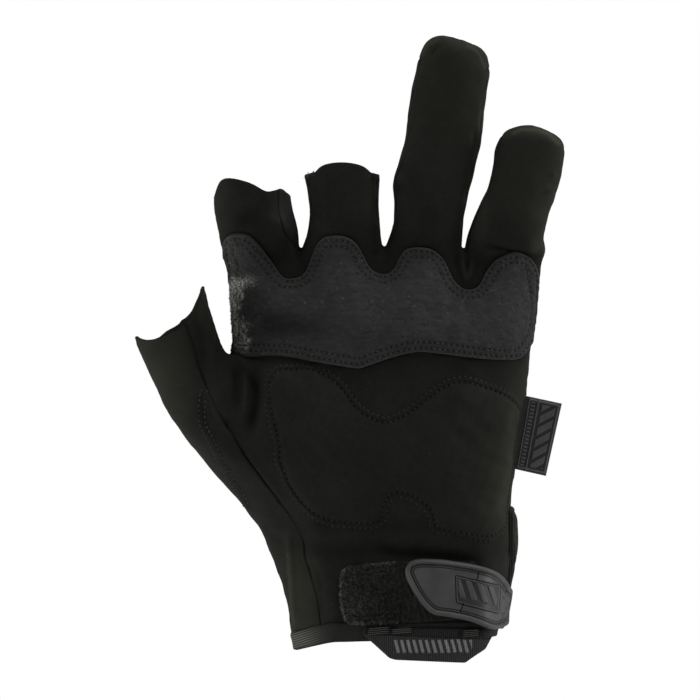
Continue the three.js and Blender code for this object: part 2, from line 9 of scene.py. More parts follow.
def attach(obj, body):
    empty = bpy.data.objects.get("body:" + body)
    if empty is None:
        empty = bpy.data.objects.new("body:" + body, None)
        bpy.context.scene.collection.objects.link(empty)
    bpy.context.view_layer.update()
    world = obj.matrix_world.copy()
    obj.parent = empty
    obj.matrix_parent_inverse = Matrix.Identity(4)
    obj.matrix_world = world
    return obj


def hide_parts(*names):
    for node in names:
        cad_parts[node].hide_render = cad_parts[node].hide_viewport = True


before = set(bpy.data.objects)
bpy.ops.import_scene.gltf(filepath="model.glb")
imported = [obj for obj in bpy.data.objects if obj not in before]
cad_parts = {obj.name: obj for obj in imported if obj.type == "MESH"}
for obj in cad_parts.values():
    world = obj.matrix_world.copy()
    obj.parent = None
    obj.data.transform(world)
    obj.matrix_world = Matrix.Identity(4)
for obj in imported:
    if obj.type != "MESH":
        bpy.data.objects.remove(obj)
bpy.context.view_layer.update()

# Photograph: what one of its pixels covers, and the pixel of the frame's origin
MM = 0.001
PIXEL = 0.345
ORIGIN_PX = (400, 640)
PHOTO_PX = 700


def place(px, py):
    """Millimetres in X and Z of a pixel of the photograph."""
    return (px - ORIGIN_PX[0]) * PIXEL, (ORIGIN_PX[1] - py) * PIXEL


def places(path):
    return np.array([place(*p) for p in path])


# Camera, far off so that the frame's scale holds over the glove's depth
CAMERA_DISTANCE = 4.0
SENSOR = 36
camera_data = bpy.data.cameras.new("camera")
camera_data.sensor_width = SENSOR
camera_data.lens = SENSOR * CAMERA_DISTANCE / (PHOTO_PX * PIXEL * MM)
camera_data.clip_end = 10 * CAMERA_DISTANCE
camera = bpy.data.objects.new("camera", camera_data)
centre_x, centre_z = place(PHOTO_PX / 2, PHOTO_PX / 2)
camera.location = (centre_x * MM, -CAMERA_DISTANCE, centre_z * MM)
camera.rotation_euler = (math.pi / 2, 0, 0)
bpy.context.collection.objects.link(camera)
bpy.context.scene.camera = camera

# Sizes of the glove, in millimetres, as in the part's source
PANEL_WALL = 1.6
FOURCHETTE_WALL = 1.2
HEM_RISE = 0.5
HEM_WALL = 2.4
REST_GAP = 0.3
LOOP_WALL = 2.0
LABEL_WALL = 1.2
PALM_SQUARENESS = 2.6
FINGER_SQUARENESS = 2.355
FINGER_CORNER = 0.745
PALM_EDGE = 0.6
PATCH_END_Y = -4
CLOSURE_END_Y = -8
TAB_END_Y = 3
TAB_DESCENT = (26, 35)
HEM_SLOPE = (6, 11)
LABEL_Y = -3


def table(names, *rows):
    return [dict(zip(names.split(), row)) for row in rows]


PALM = table(
    "z left right seam inner ulnar thenar mid heel back leftY rightY valley drop lift",
    (132.0, -60.8, 49.3, -57.5, -57.5, 46.0, 13.0, 13.5, 12.5, 11.5, -1, -1, 6.0, 0, 0),
    (118.0, -58.6, 47.3, -53.5, -53.5, 43.0, 16.0, 17.0, 15.5, 14.0, -1, -1, 1.2, 0, 0),
    (98.5, -58.2, 45.0, -50.5, -50.5, 40.0, 20.0, 19.0, 18.5, 16.0, -2, -1, 0, 0, 0),
    (75.0, -78.0, 42.2, -59.8, -54.0, 36.5, 27.0, 20.5, 21.0, 17.5, -4, 0, 0, 0, 0),
    (46.0, -53.9, 38.5, -39.2, -44.0, 32.5, 25.0, 20.0, 21.5, 18.0, -7, 2, 0, 0, 0),
    (31.0, -45.2, 38.3, -33.2, -37.0, 32.0, 20.5, 17.3, 19.0, 18.5, -4, 2, 0, 0, 0),
    (17.0, -40.3, 36.5, -28.8, -32.0, 30.0, 21.0, 19.5, 20.5, 19.5, -2, 2, 0, 0, 0.3),
    (6.7, -37.6, 34.6, -27.2, -29.5, 29.0, 21.0, 20.0, 20.5, 20.0, -1, 1, 0, 4.2, 0.4),
    (0.8, -36.6, 33.2, -26.6, -29.0, 28.5, 21.0, 20.0, 20.5, 20.0, -1, 1, 0, 3.6, 1.2),
    (-12.0, -36.2, 33.0, -26.4, -28.8, 28.4, 21.0, 20.0, 20.5, 20.0, -1, 1, 0, 2.4, 2.4),
)
THUMB_TOP_ROW = 2
THUMB_LOW_ROW = 4
HEM_TOP_ROW = 7
KNUCKLE_X = [-47.5, -34.2, -19.7, -5.5, 8.3, 21.7, 35.5]
CROTCH_Y = -1.5
CROTCH_Z = 134.6

SECTION = "leftX leftZ rightX rightZ midY depth ridge strip"
DIGITS = {
    "thumb": [
        (-74.5, 70.0, -61.7, 102.2, -9.0, 17.5, 0.16),
        (-82.5, 84.5, -63.2, 106.5, -13.5, 14.8, 0.28),
        (-87.8, 95.5, -65.1, 113.5, -16.5, 13.4, 0.32),
        (-91.2, 104.5, -67.2, 122.0, -18.5, 13.0, 0.13),
    ],
    "index": [
        (-63.0, 142.5, -35.3, 141.5, -2.5, 12.6, 0, 0.62),
        (-64.2, 148.5, -36.6, 147.5, -3.0, 12.4, 0, 0.64),
        (-64.5, 153.5, -37.5, 152.8, -3.4, 12.4, 0, 0.66),
    ],
    "middle": [
        (-31.8, 143.0, -7.0, 143.0, -2.5, 12.6),
        (-31.6, 151.5, -7.2, 151.5, -3.0, 12.3),
        (-32.8, 160.3, -7.2, 160.3, -3.6, 12.4),
    ],
    "ring": [
        (-2.0, 145.5, 21.8, 143.5, -2.5, 12.4),
        (-2.5, 157.0, 23.7, 153.8, -3.2, 12.2),
        (0.6, 168.3, 26.3, 165.0, -4.0, 12.0),
        (2.4, 180.0, 28.6, 175.5, -5.2, 11.6),
        (4.4, 191.0, 29.8, 187.4, -6.6, 11.2),
        (6.3, 200.5, 30.6, 197.0, -7.8, 10.4),
        (10.0, 206.8, 28.2, 203.2, -8.6, 7.4),
    ],
    "little": [
        (24.1, 142.5, 49.7, 140.0, -2.5, 12.0),
        (28.4, 152.5, 52.6, 150.5, -3.4, 11.8),
        (31.6, 161.5, 55.5, 160.0, -4.6, 11.5),
        (32.8, 169.5, 56.7, 167.5, -6.0, 11.0),
        (34.8, 174.0, 55.9, 171.6, -7.0, 10.0),
        (38.8, 176.8, 53.0, 174.2, -7.6, 7.0),
    ],
}
CAPS = {"ring": (18.6, -8.8, 207.7), "little": (45.3, -7.8, 177.7)}
# How far each corner of an open end's rim stands along the finger
RIMS = {
    "thumb": (-4.4, -7.0, -3.2, -4.0, -7.6, -5.0),
    "index": (5.4, 4.1, 3.1, 0.7, 1.0, 0.7),
    "middle": (1.8, 5.0, 1.8, 1.0, 1.5, 1.0),
}

# Outlines of the sewn-on parts, in pixels of the photograph
PATCH_OUTLINE = [
    (225, 242), (227.5, 237), (232, 234.2), (240, 233.2), (248, 234.3), (253, 237.5), (265.6, 252.8),
    (280.6, 275.2), (286, 278.9), (294, 279.3), (300.5, 277.6), (306, 272.2), (314.4, 252.8),
    (318.5, 243.7), (323.5, 238), (331, 235.8), (343, 236.2), (352.5, 240.6), (357.2, 246),
    (367.2, 265.6), (371.5, 271.4), (377, 274), (384, 275.2), (390, 273.6), (395, 269), (402.5, 254.7),
    (407.2, 249.4), (414, 247.8), (424, 248), (431, 249.6), (437, 253.8), (443, 261), (452.5, 279.8),
    (458, 286), (465, 289.8), (472, 289.8), (478.5, 286.2), (488, 269.7), (495, 261.1), (503, 255.8),
    (511, 253), (518, 253), (525, 255), (530.5, 259), (534.5, 266), (537, 275), (539, 288), (537, 314),
    (534, 334), (530.5, 343), (521.5, 355.8), (515, 359.2), (505, 360), (478, 358.4), (440, 353.7),
    (422, 352), (410, 353), (396, 356.2), (369, 365.2), (360, 368), (350, 367.4), (320, 362.6),
    (290, 357), (270, 356), (250, 357), (240, 357), (230, 350), (221, 336), (219, 315), (219, 290),
    (222, 272), (226, 264), (226, 252),
]
PAD_OUTLINE = [
    (273, 366.5), (288, 363), (307.5, 362.5), (329, 369), (347.5, 384), (360.5, 402), (375.5, 412),
    (385.5, 415), (397, 411), (410, 403.5), (426.5, 390.5), (441, 380.5), (457.5, 374.5), (474, 376.5),
    (490, 382), (504, 387.5), (519, 398), (528, 415), (525, 446), (519.5, 481), (515, 501.5),
    (508.5, 530), (490.5, 542), (469, 540.5), (444, 535.5), (429, 529.5), (425.5, 514.5), (409, 501),
    (396.5, 498.5), (389.5, 507.5), (388, 520.5), (377.5, 528), (349.5, 528.5), (326.5, 525.5),
    (308.5, 516), (294, 502), (284, 487.5), (278, 473), (273.5, 461), (273, 445.5), (266, 417.5),
    (263, 401), (263, 385),
]
THUMB_PATCH_OUTLINE = [
    (204, 384), (196, 391), (193.5, 410), (196.5, 431), (205, 441), (212, 456), (220, 472), (228, 487),
    (235, 502), (243, 517), (262, 530), (277, 517), (271, 494), (258, 475), (244, 458), (231, 441),
    (217, 420), (208, 402),
]
THUMB_ROW = [
    (206, 388), (203.5, 396), (202.5, 412), (204.5, 427), (211, 438), (218.5, 454), (226, 470),
    (234.5, 484), (241.5, 496), (247, 506),
]
LOOP_OUTLINE = [
    (344, 566), (339.5, 576), (339.5, 600), (345.5, 622), (356, 623.5), (423, 621), (476, 616),
    (476, 560), (400, 560.5),
]
TAB_OUTLINE = [
    (408.8, 559.5), (420, 557), (442.5, 558), (470, 562), (490, 567), (500, 572), (508, 580),
    (513, 590), (530, 596), (530, 619), (510, 625), (501, 629), (492, 629), (480, 623.8),
    (465, 618.8), (450, 616), (432.5, 613.8), (422.5, 605), (412.5, 590), (405, 575), (404, 567.5),
]
TAB_PLATE = [(455, 574.5), (500, 585), (498.5, 612.5), (456, 601)]
STRAP_OUTLINE = [(325, 536), (322, 611), (371, 623), (574, 631), (574, 504), (377, 510)]
PULL_TAB_OUTLINE = [
    (364, 625.5), (361.5, 631.5), (389, 656.5), (395, 658.3), (464, 661.5), (481, 648), (487, 635),
    (479, 627),
]
LABEL_CORNERS = [(40, 85), (55.8, 81.6), (50.3, 56.6), (36, 59.8)]

PANELS = [
    "palm_panel", "thumb_panel", "back_panel", "fourchette_index_middle",
    "fourchette_middle_ring", "fourchette_ring_little", "wrist_hem", "below_hem",
]
GUSSETS = PANELS[3:6]
TAG = {name: number for number, name in enumerate(PANELS)}


def smoothstep(value, low, high):
    share = np.clip((value - low) / (high - low), 0, 1)
    return share * share * (3 - 2 * share)


def lerp(a, b, share):
    return a + (b - a) * share


# The surface of the glove is a cage of four-sided faces, each tagged with its panel
class Cage:
    def __init__(self):
        self.points = []
        self.faces = []

    def point(self, xyz):
        self.points.append(tuple(xyz))
        return len(self.points) - 1

    def quad(self, corners, tag, beside=None, turned=False, shares=(0, 0)):
        """Shares of the face's width, at its low and high side, belong to the panel beside."""
        self.faces.append((*corners, TAG[tag], TAG[beside or tag], turned, *shares))


COLUMNS = 20
RIGHT_COLUMN = 10


# Places across a palm section that lie in the valleys between fingers
VALLEYS = np.array((0, 0, 1, 0, 1, 0, 1, 0, 0))


def palm_section(row, is_top):
    """Column 0 is the left seam, 1 to 9 the palm, 10 the right seam and 11 to 19 the back."""
    palm, back = (lerp(row[start], row["ulnar"], np.arange(9) / 8) for start in ("seam", "inner"))
    if is_top:
        palm[1:8] = back[1:8] = KNUCKLE_X
    x = np.concatenate(([row["left"]], palm, [row["right"]], back[::-1]))
    middle = (row["left"] + row["right"]) / 2
    share = np.clip((x - middle) / ((row["right"] - row["left"]) / 2), -1, 1)
    fullness = (1 - abs(share) ** PALM_SQUARENESS) ** (1 / PALM_SQUARENESS)
    edge = np.where(share < 0, row["thenar"], row["heel"])
    depth = lerp(row["mid"], edge, smoothstep(abs(share), 0, PALM_EDGE)) * fullness
    valley = row["valley"] * VALLEYS
    y = np.concatenate((
        [row["leftY"]], -depth[1:10] + valley, [row["rightY"]], row["back"] * fullness[11:] - valley
    ))
    z = row["z"] + np.where(share < 0, -row["drop"], row["lift"]) * share ** 4
    return np.stack((x, y, z), axis=1)


def digit_section(row, rim):
    """Left seam, palm side, right seam, back. rim lifts an open end's corners."""
    left = np.array((row["leftX"], row["midY"], row["leftZ"]))
    right = np.array((row["rightX"], row["midY"], row["rightZ"]))
    half = (right - left) / 2
    along = np.array((-half[2], 0, half[0])) / np.hypot(half[0], half[2])
    palm = (-1, -FINGER_CORNER, row.get("ridge", 0), row.get("strip", FINGER_CORNER))
    across = np.array((*palm, 1, FINGER_CORNER, 0, -FINGER_CORNER))[:, None]
    fullness = (1 - abs(across) ** FINGER_SQUARENESS) ** (1 / FINGER_SQUARENESS)
    depth = fullness * np.repeat((-row["depth"], row["depth"]), 4)[:, None] * (0, 1, 0)
    lifts = np.array((0, *rim[:3], 0, *rim[3:]))[:, None]
    return (left + right) / 2 + half * across + along * lifts + depth


# How much of a gusset's strip the palm or back panel takes, towards the finger's side
SEAM_SHIFT = 0.5
PLAIN_RIM = (0, 0, 0, 0, 0, 0)
TIP_SIDES = ["palm_panel"] * 4 + ["back_panel"] * 4


def grow_digit(cage, lower, name, sides):
    """Faces from the eight corners of the digit's base to its rim or its closed tip."""
    rows = table(SECTION, *DIGITS[name])
    for level, row in enumerate(rows):
        last = level == len(rows) - 1
        rim = RIMS.get(name, PLAIN_RIM) if last else PLAIN_RIM
        upper = [cage.point(p) for p in digit_section(row, rim)]
        tags = TIP_SIDES if last and name in CAPS else sides
        for j in range(8):
            after = (j + 1) % 8
            shares = (0, 0)
            if tags[j].startswith("fourchette"):
                shares = (SEAM_SHIFT, SEAM_SHIFT)
                if name == "index" and j == 3:
                    shares = (0 if level else SEAM_SHIFT, 0)
            beside = TIP_SIDES[j] if shares[0] else None
            cage.quad((lower[j], lower[after], upper[after], upper[j]), tags[j], beside, j % 2 == 0, shares)
        lower = upper
    if name in CAPS:
        tip = cage.point(CAPS[name])
        for j in (0, 2, 4, 6):
            cage.quad((lower[j], lower[j + 1], lower[(j + 2) % 8], tip), TIP_SIDES[j])


def build_cage():
    cage = Cage()
    rows = [[cage.point(p) for p in palm_section(row, i == 0)] for i, row in enumerate(PALM)]
    for r in range(len(rows) - 1):
        for j in range(COLUMNS):
            if THUMB_TOP_ROW <= r < THUMB_LOW_ROW and j in (0, COLUMNS - 1):
                continue
            tag = "palm_panel" if j < RIGHT_COLUMN else "back_panel"
            if r >= THUMB_LOW_ROW and j == 0:
                tag = "thumb_panel"
            if r >= HEM_TOP_ROW:
                tag = "wrist_hem" if r == HEM_TOP_ROW else "below_hem"
            after = (j + 1) % COLUMNS
            cage.quad((rows[r + 1][j], rows[r + 1][after], rows[r][after], rows[r][j]), tag)

    top = rows[0]
    knuckles = [cage.points[top[column]][0] for column in (3, 5, 7)]
    corners = [top[0], *(cage.point((x, CROTCH_Y, CROTCH_Z)) for x in knuckles), top[RIGHT_COLUMN]]
    ends = ("palm_panel", "back_panel")
    gaps = [ends, *((gusset, gusset) for gusset in GUSSETS), ends]
    for i, name in enumerate(("index", "middle", "ring", "little")):
        base = [corners[i], *top[1 + 2 * i : 4 + 2 * i], corners[i + 1], *top[17 - 2 * i : 20 - 2 * i]]
        sides = [gaps[i][0], *["palm_panel"] * 2, *gaps[i + 1], *["back_panel"] * 2, gaps[i][1]]
        grow_digit(cage, base, name, sides)

    high, half, low = (rows[r] for r in (THUMB_TOP_ROW, THUMB_TOP_ROW + 1, THUMB_LOW_ROW))
    base = [low[0], low[1], half[1], high[1], high[0], high[-1], half[-1], low[-1]]
    grow_digit(cage, base, "thumb", ["thumb_panel"] * 2 + ["palm_panel"] * 2 + ["back_panel"] * 4)
    faces = np.array(cage.faces)
    return np.array(cage.points), faces[:, :4].astype(int), faces[:, 4].astype(int), faces[:, 5:]


def scatter(index, values, count):
    """Sums the rows of values that share an index."""
    columns = [np.bincount(index, values[:, k], count) for k in range(values.shape[1])]
    return np.stack(columns, axis=1)


def directed_edges(quads):
    return np.stack((quads, np.roll(quads, -1, axis=1)), axis=2).reshape(-1, 2)


def face_edges(quads, count):
    """The edges of the faces, each of them once, and the number of the edge after each corner."""
    ends = np.sort(directed_edges(quads), axis=1)
    keys, edge_of = np.unique(ends[:, 0] * count + ends[:, 1], return_inverse=True)
    return np.stack((keys // count, keys % count), axis=1), edge_of


def rim_edges(quads):
    """Directed edges that belong to one of the quads only."""
    ends = directed_edges(quads)
    count = quads.max() + 1
    keys, back = ends @ (count, 1), ends @ (1, count)
    return ends[~np.isin(keys, back)]


def subdivide(points, quads, tags):
    """One Catmull-Clark step. The points given keep their places at the front."""
    count = len(points)
    edges, edge_of = face_edges(quads, count)
    centres = points[quads].mean(axis=1)
    middles = points[edges].mean(axis=1)
    is_open = np.bincount(edge_of, minlength=len(edges)) == 1
    centre_sum = scatter(edge_of, np.repeat(centres, 4, axis=0), len(edges))
    edge_points = np.where(is_open[:, None], middles, (2 * middles + centre_sum) / 4)

    corner = quads.ravel()
    valence = np.bincount(corner, minlength=count)[:, None]
    face_sum = scatter(corner, np.repeat(centres, 4, axis=0), count)
    middle_sum = scatter(edges.ravel(), np.repeat(middles, 2, axis=0), count)
    rim_ends = edges[is_open].ravel()
    rim_sum = scatter(rim_ends, np.repeat(middles[is_open], 2, axis=0), count)
    on_rim = np.bincount(rim_ends, minlength=count)[:, None] > 0
    n = np.maximum(valence, 1)
    inside = ((face_sum + 2 * middle_sum) / n + (n - 3) * points) / n
    moved = np.where(on_rim, (2 * points + rim_sum) / 4, inside)
    moved = np.where(valence > 0, moved, points)

    after = count + edge_of.reshape(-1, 4)
    centre = np.repeat(count + len(edges) + np.arange(len(quads))[:, None], 4, axis=1)
    parts = np.stack((quads, after, centre, np.roll(after, 1, axis=1)), axis=2)
    return np.concatenate((moved, edge_points, centres)), parts.reshape(-1, 4), np.repeat(tags, 4)


FIT_TURNS = 24
FIT_LEVELS = 2


def fit_cage(goals, quads, tags):
    """Moves the cage until its smoothed surface runs through the places of the tables."""
    points = goals.copy()
    for _ in range(FIT_TURNS):
        mesh = (points, quads, tags)
        for _ in range(FIT_LEVELS):
            mesh = subdivide(*mesh)
        points += goals - mesh[0][: len(goals)]
    return points


def vertex_normals(points, quads):
    a, b, c, d = (points[quads[:, k]] for k in range(4))
    face = np.cross(c - a, d - b)
    normals = scatter(quads.ravel(), np.repeat(face, 4, axis=0), len(points))
    return normals / np.maximum(np.linalg.norm(normals, axis=1, keepdims=True), 1e-9)


# Distances in the front view
def path_distance(points, path):
    """Distance of each point to an open path, and how far along it the nearest place is."""
    best = np.full(len(points), np.inf)
    along = np.zeros(len(points))
    done = 0.0
    x, z = points[:, 0], points[:, 2]
    for (sx, sz), (ex, ez) in zip(path[:-1], path[1:]):
        length = math.hypot(ex - sx, ez - sz)
        share = np.clip(((x - sx) * (ex - sx) + (z - sz) * (ez - sz)) / length ** 2, 0, 1)
        distance = np.hypot(x - sx - share * (ex - sx), z - sz - share * (ez - sz))
        nearer = distance < best
        best = np.where(nearer, distance, best)
        along = np.where(nearer, done + share * length, along)
        done += length
    return best, along, done


def outline_depth(points, outline):
    """How far inside the closed outline each point is, less than zero outside."""
    closed = np.concatenate((outline, outline[:1]))
    distance = path_distance(points, closed)[0]
    inside = np.zeros(len(points), bool)
    x, z = points[:, 0], points[:, 2]
    for (sx, sz), (ex, ez) in zip(closed[:-1], closed[1:]):
        if sz == ez:
            continue
        crosses = (sz <= z) != (ez <= z)
        inside ^= crosses & (x < sx + (z - sz) / (ez - sz) * (ex - sx))
    return np.where(inside, distance, -distance)


OUTLINE_STEPS = 4
CORNER_SHARE = 0.45
CORNER_STEPS = 7


def smooth_path(knots, steps, closed=True):
    """A centripetal Catmull-Rom curve through knots given in pixels, steps places for each."""
    knots = places(knots)
    before, after = 2 * knots[:1] - knots[1:2], 2 * knots[-1:] - knots[-2:-1]
    if closed:
        before, after = knots[-1:], knots[:2]
    padded = np.concatenate((before, knots, after))
    rows = [padded[k : len(padded) - 3 + k] for k in range(4)]
    times = [np.zeros((len(rows[0]), 1))]
    for p, q in zip(rows[:-1], rows[1:]):
        times.append(times[-1] + np.linalg.norm(q - p, axis=1, keepdims=True) ** 0.5)

    def blend(p, q, low, high, t):
        return p + (q - p) * (t - times[low]) / (times[high] - times[low])

    out = []
    for step in range(steps):
        t = lerp(times[1], times[2], step / steps)
        first, second, third = (blend(rows[k], rows[k + 1], k, k + 1, t) for k in range(3))
        left = blend(first, second, 0, 2, t)
        right = blend(second, third, 1, 3, t)
        out.append(blend(left, right, 1, 2, t))
    curve = np.stack(out, axis=1).reshape(-1, knots.shape[1])
    return curve if closed else np.concatenate((curve, knots[-1:]))


def rounded_outline(corners, radius):
    """The outline with those corners, given in pixels, rounded off with short curves."""
    corners = places(corners)
    out = []
    for i, corner in enumerate(corners):
        ends = []
        for other in (corners[i - 1], corners[(i + 1) % len(corners)]):
            way = other - corner
            ends.append(corner + way * min(CORNER_SHARE, radius / np.linalg.norm(way)))
        for t in np.linspace(0, 1, CORNER_STEPS):
            out.append(ends[0] * (1 - t) ** 2 + corner * 2 * t * (1 - t) + ends[1] * t * t)
    return np.array(out)


# Fine surface, with the relief of seams and folds laid on it
COARSE_LEVEL = 3


def split_tags(tags, splits):
    """Tags of the coarse faces, where part of a strip may belong to the panel beside it."""
    spot = np.tile(np.array([[0.0, 0], [1, 0], [1, 1], [0, 1]]), (len(tags), 1, 1))
    for _ in range(COARSE_LEVEL):
        after = (spot + np.roll(spot, -1, axis=1)) / 2
        centre = np.repeat(spot.mean(axis=1, keepdims=True), 4, axis=1)
        spot = np.stack((spot, after, centre, np.roll(after, 1, axis=1)), axis=2).reshape(-1, 4, 2)
    across, along = spot.mean(axis=1).T
    beside, turned, low, high = np.repeat(splits, 4 ** COARSE_LEVEL, axis=0).T
    across = np.where(turned > 0, 1 - across, across)
    own = np.repeat(tags, 4 ** COARSE_LEVEL)
    return np.where(across < lerp(low, high, along), beside, own).astype(int)


goals, cage_quads, cage_tags, cage_splits = build_cage()
mesh = (fit_cage(goals, cage_quads, cage_tags), cage_quads, cage_tags)
for _ in range(COARSE_LEVEL):
    mesh = subdivide(*mesh)
coarse_quads = mesh[1]
coarse_tags = split_tags(cage_tags, cage_splits)
skin_points, skin_quads, skin_tags = subdivide(mesh[0], coarse_quads, coarse_tags)

# Dips in the front rims of the open fingers: middle and half width in X, depth, height of
# the rim, and how far below it the dip fades out, all in millimetres
RIM_DIPS = [
    (-45.6, 4.0, 2.3, 156, 9), (-40.8, 1.0, -0.6, 156, 3), (-65, 2.0, 3.2, 157, 6),
    (-19.7, 6, 0.9, 165, 9), (-30.9, 2.2, 2.0, 163, 7), (-8.4, 2.2, 2.0, 163, 7),
]


def hump(distance, half):
    """A smooth hump that is 1 at no distance."""
    return np.exp(-((distance / half) ** 2))


for middle, half, dip, rim, fade in RIM_DIPS:
    x, y, z = skin_points.T
    amount = dip * hump(x - middle, half) * smoothstep(-y, 1.5, 4)
    skin_points[:, 2] -= amount * smoothstep(z, rim - fade, rim)

# Columns of a row of data: a place, its normal and its depth inside an outline
PLACE = slice(0, 3)
NORMAL = slice(3, 6)
DEPTH = 6

WAVES = 7
WAVE_SUM = 2.6


def bumps(points, *rows):
    """Smooth random heights. A row gives the height of bumps, about how wide they are, and a seed."""
    total = np.zeros(len(points))
    for height, length, seed in rows:
        rng = np.random.default_rng(seed)
        waves = np.zeros(len(points))
        for _ in range(WAVES):
            way = rng.normal(size=3)
            way *= math.tau / (np.linalg.norm(way) * length * rng.uniform(0.8, 1.5))
            waves += np.sin(points[:, PLACE] @ way + rng.uniform(0, math.tau))
        total += height * (waves / WAVE_SUM)
    return total


# Folds of the palm side: path in pixels of the photograph, height (below zero for a
# valley) and half width in millimetres
FOLDS = [
    ([(224, 353), (236, 357), (244, 363), (252, 370), (259, 381)], 1.0, 0.5),
    ([(232, 358), (236, 380), (236, 400), (233, 420)], -1.1, 1.5),
    ([(245, 366), (245.5, 390), (245.3, 410), (245, 424)], 1.3, 0.5),
    ([(249, 364), (254, 386), (254.5, 406), (247, 440)], -2.5, 2.2),
    ([(286, 534), (318, 545), (360, 549), (400, 546)], -0.9, 3.2),
    ([(372, 545), (400, 551), (430, 554), (458, 558), (484, 565)], -1.5, 2.3),
    ([(300, 556), (330, 562)], 0.5, 2.4),
    ([(296, 622), (305, 610)], 0.4, 0.8),
    ([(293, 637), (297, 630), (302.5, 626), (315, 623)], -0.5, 0.5),
    ([(228, 222), (247, 206), (264, 204)], 0.45, 2.6),
    ([(230, 233), (252, 218), (270, 214)], -0.6, 3.0),
    ([(477, 244), (492, 246), (505, 250), (515, 253), (530, 256), (541, 257)], -1.1, 0.7),
    ([(520, 243), (532, 247), (540, 250)], 0.9, 2.0),
    ([(482, 250), (500, 255)], 0.4, 1.2),
    ([(457, 246), (457.5, 262), (459, 282)], -0.9, 0.8),
    ([(462.5, 248), (463, 268), (467, 280), (471.5, 268), (471, 252)], 1.5, 0.65),
    ([(467.3, 254), (467.3, 274)], -0.8, 0.6),
    ([(481, 118), (478.8, 141), (476, 156)], 0.6, 0.8),
    ([(475.5, 126), (472, 150)], -0.3, 0.8),
    ([(471.5, 129), (467, 155)], 0.6, 0.9),
    ([(469.5, 188), (463, 205), (461, 219)], 0.6, 0.9),
    ([(430, 62), (434, 52), (441, 45)], -0.5, 0.5),
    ([(484, 66), (480, 54), (472, 47)], -0.5, 0.5),
    ([(396, 176), (404, 181), (412, 180)], 0.6, 1.6),
    ([(395, 189), (403, 187)], -0.7, 1.2),
    ([(551, 172), (556, 180)], 0.5, 0.7),
    ([(540, 186), (554, 188.5)], 0.45, 0.7),
    ([(536, 193), (552, 193.5)], -0.5, 0.7),
    ([(372, 254), (382, 254.6)], -0.5, 0.6),
    ([(378, 261), (384, 258)], 0.5, 0.7),
    ([(289, 236), (293, 255), (299, 270)], 0.9, 0.8),
    ([(222, 240), (227, 255), (229, 270)], 0.7, 0.8),
    ([(228, 246), (231, 262)], -0.5, 0.7),
    ([(250, 322), (275, 331), (305, 336), (332, 335)], -0.9, 4.0),
    ([(318, 560), (321, 590), (322, 618)], -0.4, 1.2),
    ([(288, 520), (290, 560), (292, 595), (294, 624)], 1.0, 0.7),
    ([(511, 528), (512, 550), (506, 572)], -0.6, 0.6),
    ([(160, 345), (172, 380), (196, 425)], 0.6, 6.0),
]
FOLD_TAPER = 8.0
FOLD_REACH = 3.0
FACING = (0.05, 0.45)


def fold_relief(points, normals):
    total = np.zeros(len(points))
    facing = smoothstep(-normals[:, 1], *FACING)
    flat = points[:, [0, 2]]
    for path, height, half in FOLDS:
        path = smooth_path(path, 6, closed=False)
        low = path.min(axis=0) - FOLD_REACH * half
        high = path.max(axis=0) + FOLD_REACH * half
        near = np.flatnonzero(np.all((flat > low) & (flat < high), axis=1) & (facing > 0))
        if not len(near):
            continue
        distance, along, length = path_distance(points[near], path)
        taper = min(FOLD_TAPER, length / 2)
        ends = smoothstep(along, 0, taper) * smoothstep(length - along, 0, taper)
        total[near] += height * hump(distance, half) * ends * facing[near]
    return total


# A bulge of the little finger's side above the patch
BULGE = (49.0, -3.0, 134.5)
BULGE_REACH = 3.2


def uneven(points):
    bulge = hump(np.linalg.norm(points - BULGE, axis=1), BULGE_REACH)
    return bumps(points, (0.22, 17, 1), (0.1, 6.5, 2)) + bulge


def lift(data, height):
    """Places at that height above the folded and uneven skin. A row starts with place and normal."""
    points, normals = data[:, PLACE], data[:, NORMAL]
    total = uneven(points) + fold_relief(points, normals) + height
    return points + normals * total[:, None]


# Seams: the edges where two panels meet
edges, edge_of = face_edges(skin_quads, len(skin_points))
corner_tags = np.repeat(skin_tags, 4)
edge_tags = np.zeros((len(edges), 2), int)
edge_tags[edge_of, 0] = corner_tags
edge_tags[edge_of[::-1], 1] = corner_tags[::-1]
edge_tags.sort(axis=1)
is_seam = edge_tags[:, 0] != edge_tags[:, 1]
is_hem_seam = is_seam & (edge_tags[:, 1] == TAG["wrist_hem"])
is_panel_seam = is_seam & (edge_tags[:, 1] < TAG["wrist_hem"])

# The seams run straight where the split of a strip leaves steps
SEAM_TURNS = 40
seam_ends = edges[is_panel_seam]
on_seam = np.bincount(seam_ends.ravel(), minlength=len(skin_points)) == 2
for _ in range(SEAM_TURNS):
    total = scatter(seam_ends.ravel(), skin_points[seam_ends[:, ::-1]].reshape(-1, 3), len(skin_points))
    skin_points[on_seam] = (skin_points[on_seam] + total[on_seam] / 2) / 2
skin_normals = vertex_normals(skin_points, skin_quads)


def point_tree(points):
    tree = KDTree(len(points))
    for i, p in enumerate(points):
        tree.insert(p, i)
    tree.balance()
    return tree


def distance_to(others, points):
    """Distance of each point to the nearest of the others."""
    tree = point_tree(others)
    return np.array([tree.find(p)[2] for p in points])


SEAM_SHARES = (0, 0.125, 0.375, 0.625, 0.875)


def off_seam(is_seam):
    """Distance of the skin's places to samples along the chosen edges."""
    start, end = skin_points[edges[is_seam]].swapaxes(0, 1)
    samples = [lerp(start, end, share) for share in SEAM_SHARES]
    return distance_to(np.concatenate(samples), skin_points)


